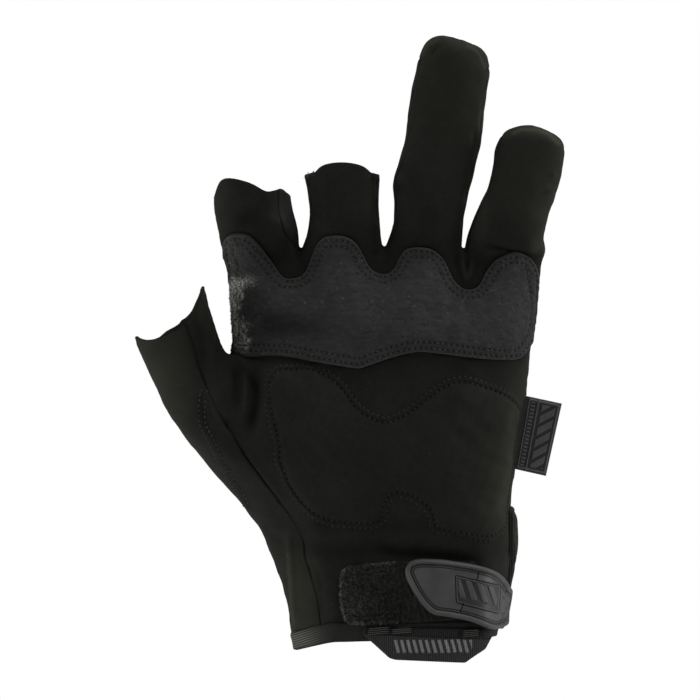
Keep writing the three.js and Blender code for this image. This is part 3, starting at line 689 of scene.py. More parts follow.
SEAM_DEPTH = 0.22
SEAM_HALF = 0.7
CREASE_DEPTH = 2.2
EDGE_HALF = 0.55
PUCKER_REACH = 2.2
seam_distance = off_seam(is_panel_seam)
hem_distance = off_seam(is_hem_seam)
pucker = bumps(skin_points, (0.12, 2.6, 3)) * np.exp(-seam_distance / PUCKER_REACH)
folded = fold_relief(skin_points, skin_normals)
skin_height = uneven(skin_points) + folded - SEAM_DEPTH * hump(seam_distance, SEAM_HALF) + pucker
skin = skin_points + skin_normals * skin_height[:, None]

# Painted light, a lighter olive where light falls on the cloth, and painted shade where the cloth
# lies in shadow: pixel, half widths in millimetres and amount
PAINTED_LIGHT_SPOTS = [
    (160, 365, 14, 20, 0.3), (300, 590, 6, 22, 0.25), (530, 175, 13, 18, 0.3),
    (448, 75, 14, 22, 0.18), (440, 140, 10, 20, 0.1), (518, 390, 6, 11, 0.2), (222, 200, 3.5, 12, 0.25),
    (300, 640, 5.5, 4.2, 1.0), (280, 205, 3, 8, 0.2), (541, 247, 2.5, 3, 0.5), (370, 190, 2.5, 10, 0.25),
    (480, 215, 3, 10, 0.3), (467, 262, 3, 5, 0.2), (492, 482, 12, 22, 0.17),
]
PAINTED_SHADE_SPOTS = [
    (208, 316, 6, 17, 0.7), (224, 352, 8, 8, 0.4), (370, 524, 35, 2.6, 0.3),
    (430, 554, 20, 2.2, 0.3), (497, 545, 4, 8, 0.3), (250, 485, 8, 18, 0.12),
    (248, 208, 14, 9, 0.15), (214, 362, 8, 15, 0.15),
]
# Painted highlights along ridges, folds and edges: path, half width in millimetres and amount
HIGHLIGHT_LINES = [
    ([(289.5, 553), (290.7, 572), (292, 595), (293.7, 624)], 0.45, 0.7),
    ([(513, 133), (521, 129.5), (535, 130), (548, 135.5), (558, 144)], 0.8, 0.75),
    ([(421, 56), (427, 46), (437, 41)], 0.7, 0.5),
    ([(468, 46), (480, 54), (484.5, 68)], 0.7, 0.5),
    ([(481, 112), (478, 140), (474, 162)], 0.5, 0.5),
    ([(465, 190), (462, 210), (461, 235)], 0.5, 0.4),
    ([(507, 415), (508, 440), (506, 465), (502, 492), (494, 508)], 1.5, 0.25),
]
RIDGE_HIGHLIGHT = 0.25
PALM_SIDE = 2


def spots(points, rows):
    """The sum of smooth spots, on the side of the palm."""
    total = np.zeros(len(points))
    for px, py, half_x, half_z, amount in rows:
        x, z = place(px, py)
        total += amount * hump(points[:, 0] - x, half_x) * hump(points[:, 2] - z, half_z)
    return total * (points[:, 1] < PALM_SIDE)


def off_path(points, path):
    """Distance in the front view to a path in pixels of the photograph."""
    return path_distance(points, places(path))[0]


# Painted light on the palm side: the lighter olive spots and the painted highlight lines
def painted_light(points):
    lines = sum(amount * hump(off_path(points, path), half) for path, half, amount in HIGHLIGHT_LINES)
    return np.clip(spots(points, PAINTED_LIGHT_SPOTS) + lines * (points[:, 1] < PALM_SIDE), 0, 1)


# Painted highlights on the tops of the folds' ridges
skin_painted_light = np.clip(painted_light(skin_points) + RIDGE_HIGHLIGHT * np.clip(folded, 0, 1), 0, 1)

# Painted shade: how dark the cloth is in its seams and creases, along and near the patch's edge and in the
# painted shade spots
patch_outline = smooth_path(PATCH_OUTLINE, OUTLINE_STEPS)
patch_depth = outline_depth(skin_points, patch_outline)
patch_edge_shade = 0.7 * hump(patch_depth, EDGE_HALF) + 0.2 * hump(patch_depth, 8)
skin_shade = np.clip(
    0.7 * hump(seam_distance, 0.45) + 0.7 * hump(hem_distance, 0.4)
    + patch_edge_shade * (skin_points[:, 1] < PATCH_END_Y) + spots(skin_points, PAINTED_SHADE_SPOTS)
    + 0.75 * np.clip(-folded / CREASE_DEPTH, 0, 1), 0, 1
)


# Mesh making
def mesh_piece(name, points, faces, look, nodes=(), fields=None):
    """An object from points in millimetres and arrays of corners, one array for each size."""
    used, corners = np.unique(np.concatenate([f.ravel() for f in faces]), return_inverse=True)
    rows, done = [], 0
    for f in faces:
        rows += corners[done : done + f.size].reshape(f.shape).tolist()
        done += f.size
    mesh = bpy.data.meshes.new(name)
    mesh.from_pydata((points[used] * MM).tolist(), [], rows, shade_flat=False)
    for key, values in (fields or {}).items():
        layer = mesh.attributes.new(key, "FLOAT", "POINT")
        layer.data.foreach_set("value", values[used].astype(np.float32))
    mesh.validate()
    mesh.materials.append(look)
    piece = bpy.data.objects.new(name, mesh)
    bpy.context.collection.objects.link(piece)
    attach(piece, "root")
    if nodes:
        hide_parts(*nodes)
    return piece


# Sheets of triangles that are cut along lines of equal depth. A row of data holds a
# place, a normal and further fields, all carried along by the cuts.
SNAP = 0.02


def cut_sheet(data, triangles, column, level):
    value = data[:, column] - level
    value[np.abs(value) < SNAP] = 0
    data[value == 0, column] = level
    signs = np.sign(value).astype(int)[triangles]
    mixed = (signs.min(axis=1) < 0) & (signs.max(axis=1) > 0)
    if not mixed.any():
        return data, triangles
    whole, cut, signs = triangles[~mixed], triangles[mixed], signs[mixed]
    total = signs.sum(axis=1)
    lone = np.argmax(signs == -total[:, None], axis=1)
    a, b, c = np.take_along_axis(cut, (lone[:, None] + np.arange(3)) % 3, axis=1).T
    split = total == 0
    a0, b0, c0 = a[split], b[split], c[split]
    a1, b1, c1 = a[~split], b[~split], c[~split]
    pairs = np.concatenate([np.stack(pair, axis=1) for pair in ((b0, c0), (a1, b1), (a1, c1))])
    pairs.sort(axis=1)
    count = len(data)
    keys, which = np.unique(pairs @ (count, 1), return_inverse=True)
    low, high = keys // count, keys % count
    added = lerp(data[low], data[high], (value[low] / (value[low] - value[high]))[:, None])
    added[:, column] = level
    m, p, q = np.split(which + count, np.cumsum((len(a0), len(a1))))
    parts = [(a0, b0, m), (a0, m, c0), (a1, p, q), (p, b1, c1), (p, c1, q)]
    new = np.concatenate([np.stack(part, axis=1) for part in parts])
    return np.concatenate((data, added)), np.concatenate((whole, new))


WINDOW_MARGIN = 3
DEPTH_MARGIN = 12


def sheet_over(low, high, end_y, side, extra):
    """Finely split surface over a window of the front view, on one side of end_y."""
    flat = skin_points[:, [0, 2]]
    near = np.all((flat > low - WINDOW_MARGIN) & (flat < high + WINDOW_MARGIN), axis=1)
    near &= side * (skin_points[:, 1] - end_y) > -DEPTH_MARGIN
    quads = skin_quads[np.all(near[skin_quads], axis=1)]
    used, corners = np.unique(quads, return_inverse=True)
    mesh = (skin_points[used], corners.reshape(-1, 4), np.zeros(len(quads), int))
    for _ in range(extra):
        mesh = subdivide(*mesh)
    points, quads, _ = mesh
    triangles = np.concatenate((quads[:, [0, 1, 2]], quads[:, [0, 2, 3]]))
    return np.concatenate((points, vertex_normals(points, quads)), axis=1), triangles


SAME = 1e-6
SHORTEST = 12


def overlay_sheet(outline, end_y, side, cuts, extra=1, inner=None, seen=None, forward=None):
    """Data and triangles inside the outline, cut at each depth of cuts.

    The outline is that of the skin below, or of the raised surface that seen makes of it.
    The part ends at end_y, or forward of it by what forward says. inner is a further field
    with its own cuts.
    """
    data, triangles = sheet_over(outline.min(axis=0), outline.max(axis=0), end_y, side, extra)
    depth = outline_depth(seen(data) if seen else data, outline)
    ahead = forward(data) if forward else 0
    columns = [data, np.minimum(depth, side * (data[:, 1] - end_y) + ahead)[:, None]]
    if inner:
        columns.append(inner[0](data)[:, None])
    data = np.concatenate(columns, axis=1)
    for level in cuts:
        data, triangles = cut_sheet(data, triangles, DEPTH, level)
        if level == cuts[0]:
            triangles = triangles[np.all(data[triangles, DEPTH] >= 0, axis=1)]
    for level in inner[1] if inner else ():
        data, triangles = cut_sheet(data, triangles, DEPTH + 1, level)
    return data, triangles


def contour(data, triangles, level):
    """Chains of points where the depth has that level."""
    on = np.abs(data[:, DEPTH] - level) < SAME
    ends = np.concatenate((triangles[:, [0, 1]], triangles[:, [1, 2]], triangles[:, [2, 0]]))
    ends = np.unique(np.sort(ends[on[ends].all(axis=1)], axis=1), axis=0)
    neighbours = {}
    for a, b in ends:
        neighbours.setdefault(a, []).append(b)
        neighbours.setdefault(b, []).append(a)
    chains = []
    for start in sorted(neighbours, key=lambda v: (len(neighbours[v]) != 1, v)):
        chain = [start]
        while neighbours[chain[-1]]:
            after = neighbours[chain[-1]].pop()
            neighbours[after].remove(chain[-1])
            chain.append(after)
        if len(chain) > SHORTEST:
            chains.append(np.array(chain))
    return chains


# Stitches
STITCH_PITCH = 2.3
STITCH_SHARE = 0.6
STITCH_WIDTH = 0.4
STITCH_SINK = 0.24
STITCH_SPREAD = (0.8, 1.15)
STITCH_SLANT = 0.12
CLOSE_PITCH = 1.9
THREAD_RINGS = ((-0.5, 0.5, -0.32), (-0.36, 0.9, 0.0), (0, 1, 0.16), (0.36, 0.9, 0.0), (0.5, 0.5, -0.32))
SIDES = 6
THREAD_POINTS = len(THREAD_RINGS) * SIDES
THREAD_FACES = np.array([
    (low + k, low + (k + 1) % SIDES, low + SIDES + (k + 1) % SIDES, low + SIDES + k)
    for low in range(0, THREAD_POINTS - SIDES, SIDES)
    for k in range(SIDES)
])
stitch_rng = np.random.default_rng(21)
threads = {}


def unit(vectors):
    return vectors / np.linalg.norm(vectors, axis=-1, keepdims=True)


def add_threads(name, centres, ways, normals, lengths, width=STITCH_WIDTH):
    """Short arched threads at the centres, kept under that name until they are built."""
    ways, normals = unit(ways), unit(normals)
    sides = np.cross(ways, normals)
    rows = []
    for along, thick, up in THREAD_RINGS:
        spine = centres + ways * (along * np.asarray(lengths)[:, None]) + normals * up
        for k in range(SIDES):
            angle = math.tau * k / SIDES
            off = normals * math.cos(angle) + sides * math.sin(angle)
            rows.append(spine + off * (width / 2 * thick))
    threads.setdefault(name, []).append(np.stack(rows, axis=1).reshape(-1, 3))


def spaced(points, pitch):
    """Places along a chain at equal spacing, as fractional positions in it."""
    run = np.concatenate(([0], np.cumsum(np.linalg.norm(np.diff(points, axis=0), axis=1))))
    count = max(2, int(run[-1] / pitch))
    return np.interp(np.linspace(0, run[-1], count + 1), run, np.arange(len(points)))


def along_chain(values, positions):
    index = np.minimum(positions.astype(int), len(values) - 2)
    return lerp(values[index], values[index + 1], (positions - index)[:, None])


def stitch_chain(name, points, normals, pitch=STITCH_PITCH):
    """Stitches along a chain of places. Returns the holes between them."""
    positions = spaced(points, pitch)
    holes = along_chain(points, positions)
    up = along_chain(normals, positions)
    ways = np.diff(holes, axis=0)
    count = len(ways)
    spans = np.linalg.norm(ways, axis=1)
    lengths = spans * STITCH_SHARE * stitch_rng.uniform(*STITCH_SPREAD, count)
    ways = ways + STITCH_SLANT * spans[:, None] * stitch_rng.normal(size=(count, 3))
    sink = STITCH_SINK * stitch_rng.uniform(0, 1, (count, 1)) ** 2
    add_threads(name, (holes[:-1] + holes[1:]) / 2 - up[1:] * sink, ways, up[:-1] + up[1:], lengths)
    return holes


def build_threads(name, look):
    points = np.concatenate(threads[name])
    first = np.arange(0, len(points), THREAD_POINTS)[:, None, None]
    return mesh_piece(name, points, [(THREAD_FACES + first).reshape(-1, 4)], look)


# Materials
OLIVE = (0.85, 0.86, 0.6, 1)
# The colour of the painted light
PAINTED_LIGHT_OLIVE = (0.0275, 0.0283, 0.0205, 1)
IN_SHADE = 0.12


def gray(value, warm=0.0):
    return (value * (1 + warm), value * (1 + warm), value * (1 - warm), 1)


class Shader:
    """A procedural material, whose colour and bumps are built up in layers."""

    def __init__(self, name, color):
        self.look = bpy.data.materials.new(name)
        self.look.use_nodes = True
        self.tree = self.look.node_tree
        self.place = self.add("TexCoord").outputs["Object"]
        self.color = color
        self.normal = None

    def add(self, kind, sockets=(), **settings):
        """A node of that kind, with its sockets and settings by name."""
        node = self.tree.nodes.new("ShaderNode" + kind)
        for key, value in settings.items():
            setattr(node, key, value)
        self.fill(node, dict(sockets))
        return node

    def fill(self, node, sockets):
        for key, value in sockets.items():
            if isinstance(value, bpy.types.NodeSocket):
                self.tree.links.new(value, node.inputs[key])
            else:
                node.inputs[key].default_value = value

    def noise(self, size, detail=3, roughness=0.55, distortion=0, vector=None):
        """Noise with features about size millimetres wide."""
        sockets = {
            "Vector": vector or self.place, "Scale": 1 / (size * MM), "Detail": detail,
            "Roughness": roughness, "Distortion": distortion,
        }
        return self.add("TexNoise", sockets).outputs["Fac"]

    def math(self, operation, a, b=0.0):
        return self.add("Math", {0: a, 1: b}, operation=operation).outputs[0]

    def plus(self, a, b):
        return self.math("ADD", a, b)

    def times(self, a, b):
        return self.math("MULTIPLY", a, b)

    def wave(self, value, pitch):
        """Sine ribs, one every pitch millimetres."""
        return self.math("SINE", self.times(value, math.tau / (pitch * MM)))

    def ramp(self, value, low, high, out_low=0.0, out_high=1.0):
        sockets = {
            "Value": value, "From Min": low, "From Max": high, "To Min": out_low, "To Max": out_high,
        }
        return self.add("MapRange", sockets, interpolation_type="SMOOTHSTEP").outputs["Result"]

    def mix(self, share, a, b):
        return self.add("Mix", {0: share, 6: a, 7: b}, data_type="RGBA").outputs[2]

    def field(self, name):
        return self.add("Attribute", attribute_name=name).outputs["Fac"]

    def axes(self):
        return self.add("SeparateXYZ", {0: self.place}).outputs

    def paint(self, share, color):
        """Lays a colour over those before it, as thick as share says."""
        self.color = self.mix(share, self.color, color)

    def emboss(self, height, distance):
        """Adds bumps to those before them. distance is how high they are in millimetres."""
        sockets = {"Height": height, "Distance": distance * MM, "Strength": 1.0}
        if self.normal:
            sockets["Normal"] = self.normal
        self.normal = self.add("Bump", sockets).outputs["Normal"]

    def finish(self, roughness, specular=0.5, sheen=None, sheen_roughness=0.6, sheen_tint=OLIVE):
        """Sets the surface and returns the material."""
        sockets = {"Base Color": self.color, "Roughness": roughness, "Specular IOR Level": specular}
        if self.normal:
            sockets["Normal"] = self.normal
        if sheen is not None:
            sockets |= {
                "Sheen Weight": sheen, "Sheen Roughness": sheen_roughness, "Sheen Tint": sheen_tint,
            }
        self.fill(self.tree.nodes["Principled BSDF"], sockets)
        return self.look


def cloth_look(name, dark, light, grain, bump, rough=0.85, sheen=0.02, specular=0.05, ribs=0.0, flecks=0.0):
    """Close-napped cloth: blotches, a fine grain, painted light, painted shade in its creases and a soft
    sheen at its sides.
    """
    shader = Shader(name, gray(dark, 0.02))
    blotch = shader.times(shader.noise(14, 3), 0.5)
    mottle = shader.times(shader.noise(1.6, 4, 0.65), 0.5)
    shader.paint(shader.ramp(shader.plus(blotch, mottle), 0.35, 0.65), gray(light, 0.05))
    # Painted light where the mesh's field says
    shader.paint(shader.field("painted_light"), PAINTED_LIGHT_OLIVE)
    if flecks:
        shader.paint(shader.ramp(shader.noise(1.1, 2, 0.5), 0.72, 0.78, 0, flecks), gray(0.04))
    shader.paint(shader.field("shade"), gray(dark * IN_SHADE))
    shader.emboss(shader.noise(grain, 4, 0.7), bump)
    if ribs:
        across, _, up = shader.axes()
        rib = shader.wave(shader.math("SUBTRACT", up, shader.times(across, 0.36)), 0.8)
        # Painted highlights on the ribs, where the painted light lies
        shader.paint(shader.times(shader.ramp(rib, 0, 0.8), shader.field("painted_light")), gray(0.1))
        shader.emboss(rib, ribs)
    return shader.finish(rough, specular, sheen)


def knit_look(name, dark, light, pitch, bump):
    """Stretch knit: fine wales along the fingers with courses between them."""
    shader = Shader(name, gray(dark))
    facing = shader.add("SeparateXYZ", {0: shader.add("NewGeometry").outputs["Normal"]}).outputs
    turns = [shader.times(value, math.tau / (pitch * MM)) for value in shader.axes()]
    course = shader.math("SINE", shader.times(turns[2], 1.25))
    bend = shader.times(course, 0.7)
    wale, side_wale = (shader.math("SINE", shader.plus(turn, bend)) for turn in turns[:2])
    is_side = shader.ramp(shader.math("ABSOLUTE", facing[0]), 0.6, 0.8)
    mixed = shader.add("Mix", {0: is_side, 2: wale, 3: side_wale}, data_type="FLOAT").outputs[0]
    height = shader.plus(mixed, shader.times(course, 0.35))
    shader.emboss(height, bump)
    shader.emboss(shader.noise(0.5, 3), bump * 0.8)
    shader.paint(shader.ramp(height, -0.9, 0.9), gray(light))
    # Painted light where the mesh's field says
    shader.paint(shader.field("painted_light"), PAINTED_LIGHT_OLIVE)
    shader.paint(shader.field("shade"), gray(dark * IN_SHADE))
    return shader.finish(0.88, 0.06, 0.015)


def suede():
    """Worn suede: fine speckle with pale flecks and scuffs, and stains, painted shadows and dark stitch holes
    from the mesh's shade field.
    """
    shader = Shader("patch_suede", gray(0.0185))
    stretch = shader.add("Mapping", {"Vector": shader.place, "Scale": (0.35, 1, 1)}).outputs[0]
    scuff = shader.noise(1.1, 5, 0.7, 0.4, vector=stretch)
    blotch = shader.noise(11, 3, 0.6)
    share = shader.plus(shader.times(scuff, 0.6), shader.times(blotch, 0.4))
    shader.paint(shader.ramp(share, 0.36, 0.64), gray(0.032))
    flecks = shader.ramp(shader.noise(1.3, 2, 0.5), 0.66, 0.72)
    shader.paint(shader.times(flecks, 0.45), gray(0.075))
    hair = shader.math("ABSOLUTE", shader.math("SUBTRACT", shader.noise(3.6, 1, 0.5, 1.0), 0.5))
    scratch = shader.times(shader.ramp(hair, 0.006, 0.016, 1, 0), shader.ramp(blotch, 0.5, 0.56))
    shader.paint(shader.times(scratch, 0.6), gray(0.008))
    speck = shader.noise(0.75, 4, 0.8)
    worn = shader.field("worn")
    shader.paint(worn, shader.mix(shader.ramp(speck, 0.4, 0.6), gray(0.014), gray(0.5, 0.05)))
    shader.paint(shader.field("shade"), gray(0.004))
    shader.emboss(shader.noise(0.55, 5, 0.75), 0.16)
    shader.emboss(shader.times(speck, worn), 0.5)
    shader.emboss(scratch, -0.12)
    shader.emboss(scuff, 0.14)
    return shader.finish(0.92, 0.12, 0.08, 0.3, (0.9, 0.9, 0.85, 1))


def rubber_look(name, base, rough, bump=0.03):
    shader = Shader(name, gray(base * 0.85))
    smudge = shader.noise(7, 4, 0.6)
    shader.paint(shader.ramp(smudge, 0.3, 0.7), gray(base * 1.15))
    shader.paint(shader.field("shade"), gray(base * IN_SHADE))
    shader.emboss(shader.noise(0.35, 2), bump)
    return shader.finish(shader.ramp(smudge, 0.3, 0.7, rough - 0.07, rough + 0.07), 0.3)


def webbing():
    """Ribbed webbing with a pale woven tracer, darker where it is folded under the tacks."""
    shader = Shader("webbing", gray(0.013))
    across, _, up = shader.axes()
    rib = shader.wave(shader.plus(across, shader.times(shader.noise(6), 0.5 * MM)), 0.72)
    height = shader.plus(rib, shader.times(shader.wave(up, 0.6), 0.35))
    shader.paint(shader.ramp(height, -0.8, 1.0), gray(0.032))
    shader.paint(shader.field("tracer"), gray(0.15))
    shader.paint(shader.field("shade"), gray(0.003))
    shader.emboss(height, 0.12)
    shader.emboss(shader.noise(0.4, 3), 0.08)
    return shader.finish(0.75, 0.08)


# Darkest and lightest gray, then size of the grain and height of its bumps in millimetres
LEATHER = cloth_look("synthetic_leather", 0.0075, 0.0103, 0.45, 0.09, flecks=0.5)
HEM = cloth_look("hem_fabric", 0.012, 0.016, 0.4, 0.06, ribs=0.03)
KNIT = knit_look("stretch_fabric", 0.012, 0.018, 0.8, 0.035)
STRAP = knit_look("strap_fabric", 0.01, 0.024, 0.9, 0.09)
LOOP = cloth_look("loop_fabric", 0.006, 0.015, 0.8, 0.5, rough=0.95, sheen=0.01)
FIBRE = cloth_look("loop_fibre", 0.013, 0.042, 0.6, 0.05, sheen=0.0)
FRAY = cloth_look("fray_fibre", 0.005, 0.06, 0.6, 0.05, sheen=0.03)
EDGE_FIBRE = cloth_look("edge_fibre", 0.03, 0.09, 0.6, 0.05)
PALE_FIBRE = cloth_look("suede_fibre", 0.06, 0.24, 0.6, 0.05)
THREAD, DARK_THREAD, TACK_THREAD = (
    cloth_look(name, dark, light, 0.25, 0.08, rough=0.6, sheen=0.03, specular=specular)
    for name, dark, light, specular in (
        ("thread", 0.006, 0.02, 0.3), ("dark_thread", 0.006, 0.016, 0.2), ("tack_thread", 0.018, 0.03, 0.3)
    )
)
RUBBER = rubber_look("tab_rubber", 0.033, rough=0.58)
LABEL = rubber_look("label_fabric", 0.046, rough=0.5, bump=0.04)


# Panels of the shell: an outer wall, a coarser inner one and a rolled or plain edge between
RIM_ANGLES = (35, 90, 145)
RIM_BULGE = 0.55
RIM_SHADE = 0.5
INSIDE_SHADE = 0.9
RIM_WALL = 0.9
tags_beside = dict(zip(map(tuple, edges.tolist()), edge_tags.tolist()))


def panel_piece(name, wall, look, rise=None):
    fine = skin_quads[skin_tags == TAG[name]]
    coarse = coarse_quads[coarse_tags == TAG[name]]
    top = skin if rise is None else skin + skin_normals * rise[:, None]
    inner = top - skin_normals * wall
    rim_wall = min(wall, RIM_WALL) if rise is None else wall
    count = len(top)
    after = dict(rim_edges(fine).tolist())
    rim = [(a, after[a], b) for a, b in rim_edges(coarse).tolist()]
    ways = np.zeros((count, 3))
    for a, m, b in rim:
        for start, end in ((a, m), (m, b)):
            out = unit(np.cross(top[end] - top[start], skin_normals[start]))
            ways[start] += out
            ways[end] += out
    chains, rolls, rolled, joined = {}, [], [], []
    for a, m, b in rim:
        low, high = tags_beside[(min(a, m), max(a, m))]
        ends = (a, m, b)
        if low == high or high == TAG["below_hem"]:
            for v in ends:
                if v in chains:
                    continue
                normal, out = skin_normals[v], unit(ways[v])
                inner[v] = top[v] - normal * rim_wall
                chains[v] = [v] + [count * 2 + len(rolls) + k for k in range(len(RIM_ANGLES))]
                for turn in np.radians(RIM_ANGLES):
                    up = normal * (math.cos(turn) * rim_wall / 2)
                    bulge = out * (math.sin(turn) * rim_wall / 2 * RIM_BULGE)
                    rolls.append(top[v] - normal * (rim_wall / 2) + up + bulge)
            for start, end in ((chains[a], chains[m]), (chains[m], chains[b])):
                rolled += zip(end[:-1], start[:-1], start[1:], end[1:])
            ends = [chains[v][-1] for v in ends]
        joined += [
            (ends[1], ends[0], a + count), (ends[1], a + count, b + count), (ends[2], ends[1], b + count),
        ]
    faces = [fine, coarse[:, ::-1] + count, np.array(rolled), np.array(joined)]
    points = np.concatenate((top, inner, np.array(rolls).reshape(-1, 3)))
    shade = np.concatenate((skin_shade, np.full(count, INSIDE_SHADE), np.full(len(rolls), RIM_SHADE)))
    # Painted light on the outer wall only
    fade = np.concatenate((skin_painted_light, np.zeros(count + len(rolls))))
    faces = [f for f in faces if len(f)]
    mesh_piece(name + "_cloth", points, faces, look, (name,), {"shade": shade, "painted_light": fade})


panel_piece("palm_panel", PANEL_WALL, LEATHER)
panel_piece("thumb_panel", PANEL_WALL, LEATHER)
panel_piece("back_panel", PANEL_WALL, KNIT)
for gusset in GUSSETS:
    panel_piece(gusset, FOURCHETTE_WALL, KNIT)
panel_piece("wrist_hem", HEM_WALL, HEM, HEM_RISE * smoothstep(hem_distance, 0, 0.9))


# Sewn-on parts
HOLE_HALF = 0.42
HOLE_DEPTH = 0.3


def heights(depth, profile):
    return np.interp(depth, *np.transpose(profile))


def pull_in(data, top, holes):
    """Draws a surface in at its stitches' holes. Also returns 1 at them, fading to 0 round them."""
    pulled = hump(distance_to(np.concatenate(holes), top), HOLE_HALF)
    return top - data[:, NORMAL] * (HOLE_DEPTH * pulled)[:, None], pulled


def sewn_overlay(
    name, outline, end_y, side, profile, rows=(), extra=1, shape=None, pitch=STITCH_PITCH, forward=None,
):
    """A sewn-on part whose height follows profile from its edge, with rows of stitches."""
    cuts = sorted({d for d, _ in profile} | set(rows))
    data, triangles = overlay_sheet(outline, end_y, side, cuts, extra, forward=forward)
    height = heights(data[:, DEPTH], profile)
    if shape:
        height = height + shape(data)
    holes = []
    for row in rows:
        for chain in contour(data, triangles, row):
            at = data[chain]
            holes.append(stitch_chain(name, lift(at, height[chain]), at[:, NORMAL], pitch))
    top = lift(data, height)
    if not holes:
        return data, triangles, top, np.zeros(len(data))
    return data, triangles, *pull_in(data, top, holes)


NEIGHBOURS = 4
SOFTENING = 0.05


class Front:
    """Looks up places and normals of a surface that faces the photograph."""

    def __init__(self, points, normals):
        facing = normals[:, 1] < 0
        self.points = points[facing]
        self.normals = normals[facing]
        self.tree = point_tree(self.points * (1, 0, 1))

    def at(self, flat):
        """Places and normals above points given in X and Z."""
        points, normals = [], []
        for x, z in flat:
            found = self.tree.find_n((x, 0, z), NEIGHBOURS)
            weights = np.array([1 / (near + SOFTENING) ** 2 for _, _, near in found])
            rows = [i for _, i, _ in found]
            points.append(weights @ self.points[rows] / weights.sum())
            normals.append(unit(weights @ self.normals[rows]))
        return np.array(points), np.array(normals)


FIBRE_SPREAD = (0.6, 1.4)
rng = np.random.default_rng(4)


def fibres(name, centres, normals, length, width, spread=0.7):
    """Short loose threads that lie at random ways on a surface."""
    ways = rng.normal(size=centres.shape) + normals * spread * rng.normal(size=(len(centres), 1))
    lengths = length * rng.uniform(*FIBRE_SPREAD, len(centres))
    add_threads(name, centres, ways, normals, lengths, width)


# Patch over the finger bases, worn at its left end, where it is folded over the glove's side
PATCH_PROFILE = [
    (0, -0.4), (0.05, 0.7), (0.2, 1.15), (0.45, 1.35), (0.8, 1.42), (1.3, 1.3), (1.9, 1.5), (2.7, 1.52),
    (3.3, 1.36), (4.0, 1.55), (7, 1.65),
]
PATCH_ROWS = (1.3, 3.3)
WORN_BAND = [(237, 287), (233.5, 303), (234.5, 318), (239, 331), (244, 343)]
WORN_MIDDLE = [(234, 308, 8, 10, 0.52)]
WORN_ARMS = [(247, 282, 3.4, 1.7, 0.42), (245, 326, 3.2, 1.9, 0.4), (230, 262, 3, 12, 0.08)]
# Stains, and painted shadow where the patch folds: pixel, half widths in millimetres and amount
STAINS_AND_SHADOWS = [
    (284, 325, 17, 4.5, 0.5), (256, 268, 14, 15, 0.2), (338, 340, 42, 6.5, 0.26),
    (332, 255, 10, 10, 0.1), (420, 262, 12, 6, 0.15),
]
PATCH_LEFT = [(221, 236), (225, 256), (229, 276), (230, 288)]
FUZZ_PLACE = [(236, 312, 5, 11, 1)]
FUZZ = 700
data, triangles, top, pulled = sewn_overlay(
    "patch_thread", patch_outline, PATCH_END_Y, -1, PATCH_PROFILE, PATCH_ROWS, pitch=CLOSE_PITCH,
    shape=lambda d: bumps(d, (0.08, 3.1, 11), (0.05, 1.5, 12)),
)
band = off_path(data, WORN_BAND) + bumps(data, (0.6, 4, 16), (0.6, 1.6, 17))
worn = (1 - smoothstep(band, 1.1, 4.0)) * (0.48 + spots(data, WORN_MIDDLE)) + spots(data, WORN_ARMS)
worn = np.clip(worn + 0.04 * hump(data[:, DEPTH] - 0.3, 0.25), 0, 1)
# Stains, and painted shadow in the patch's folds and along its edges
stain_and_shadow = spots(data, STAINS_AND_SHADOWS) + 0.2 * hump(data[:, DEPTH], 4) + 0.45 * hump(off_path(data, PATCH_LEFT), 1.1)
mesh_piece(
    "finger_base_patch_suede", top, [triangles], suede(), ("finger_base_patch",),
    {"worn": worn, "shade": np.clip(0.5 * pulled + stain_and_shadow * (1 - worn), 0, 0.9)},
)
build_threads("patch_thread", THREAD)
chance = worn * spots(data, FUZZ_PLACE) * (data[:, DEPTH] > 0.4)
picked = rng.choice(len(data), FUZZ, p=chance / chance.sum())
fibres("patch_fuzz", top[picked], data[picked, NORMAL], length=0.8, width=0.15)
build_threads("patch_fuzz", PALE_FIBRE)

# Padded panel of the palm
PAD_PROFILE = [
    (0, -0.35), (0.4, 0.1), (0.7, 0.12), (1.2, 0.5), (1.9, 0.55), (2.5, 0.3), (3.1, 0.6), (4.2, 1.1),
    (6.5, 1.7), (9, 2.1), (13, 2.45), (20, 2.7),
]
PAD_ROWS = (0.7, 2.5)
data, triangles, top, pulled = sewn_overlay(
    "pad_thread", smooth_path(PAD_OUTLINE, OUTLINE_STEPS), PATCH_END_Y, -1, PAD_PROFILE, PAD_ROWS,
    shape=lambda d: bumps(d, (0.1, 5, 13)), pitch=CLOSE_PITCH,
)
pad = mesh_piece(
    "palm_pad_cover", top, [triangles], LEATHER, ("palm_pad",),
    # Painted light as on the panels
    {"shade": 0.3 * pulled + 0.12 * hump(data[:, DEPTH] - 1.6, 1.2), "painted_light": painted_light(data)},
)
build_threads("pad_thread", DARK_THREAD)

# Patch of the thumb, sewn on along its middle with a double row
THUMB_PROFILE = [(0, -0.25), (0.8, -0.1), (2.2, 0.2), (3.2, 0.3), (8, 0.3)]
THUMB_ROW_HALF = 1.0
THUMB_PITCH = 1.8
thumb_row = smooth_path(THUMB_ROW, 8, closed=False)
data, triangles, top, pulled = sewn_overlay(
    "thumb_thread", smooth_path(THUMB_PATCH_OUTLINE, OUTLINE_STEPS), PATCH_END_Y, -1, THUMB_PROFILE,
)
front = Front(top, data[:, NORMAL])
row_sides = unit(np.gradient(thumb_row, axis=0)[:, ::-1] * (-1, 1))
holes = [
    stitch_chain("thumb_thread", *front.at(thumb_row + row_sides * off), THUMB_PITCH)
    for off in (-THUMB_ROW_HALF, THUMB_ROW_HALF)
]
band = hump(path_distance(top, thumb_row)[0], 1.6)
top, pulled = pull_in(data, top, holes)
mesh_piece(
    "thumb_patch_cover", top, [triangles], LEATHER, ("thumb_patch",),
    # Painted light as on the panels
    {"shade": 0.5 * pulled + 0.35 * band, "painted_light": painted_light(data)},
)
build_threads("thumb_thread", THREAD)


# Wrist closure: the loop patch with loose loops in its pile
def slope(data):
    """How far the hem lifts what lies over it."""
    return HEM_RISE * (1 - smoothstep(data[:, 2], *HEM_SLOPE))


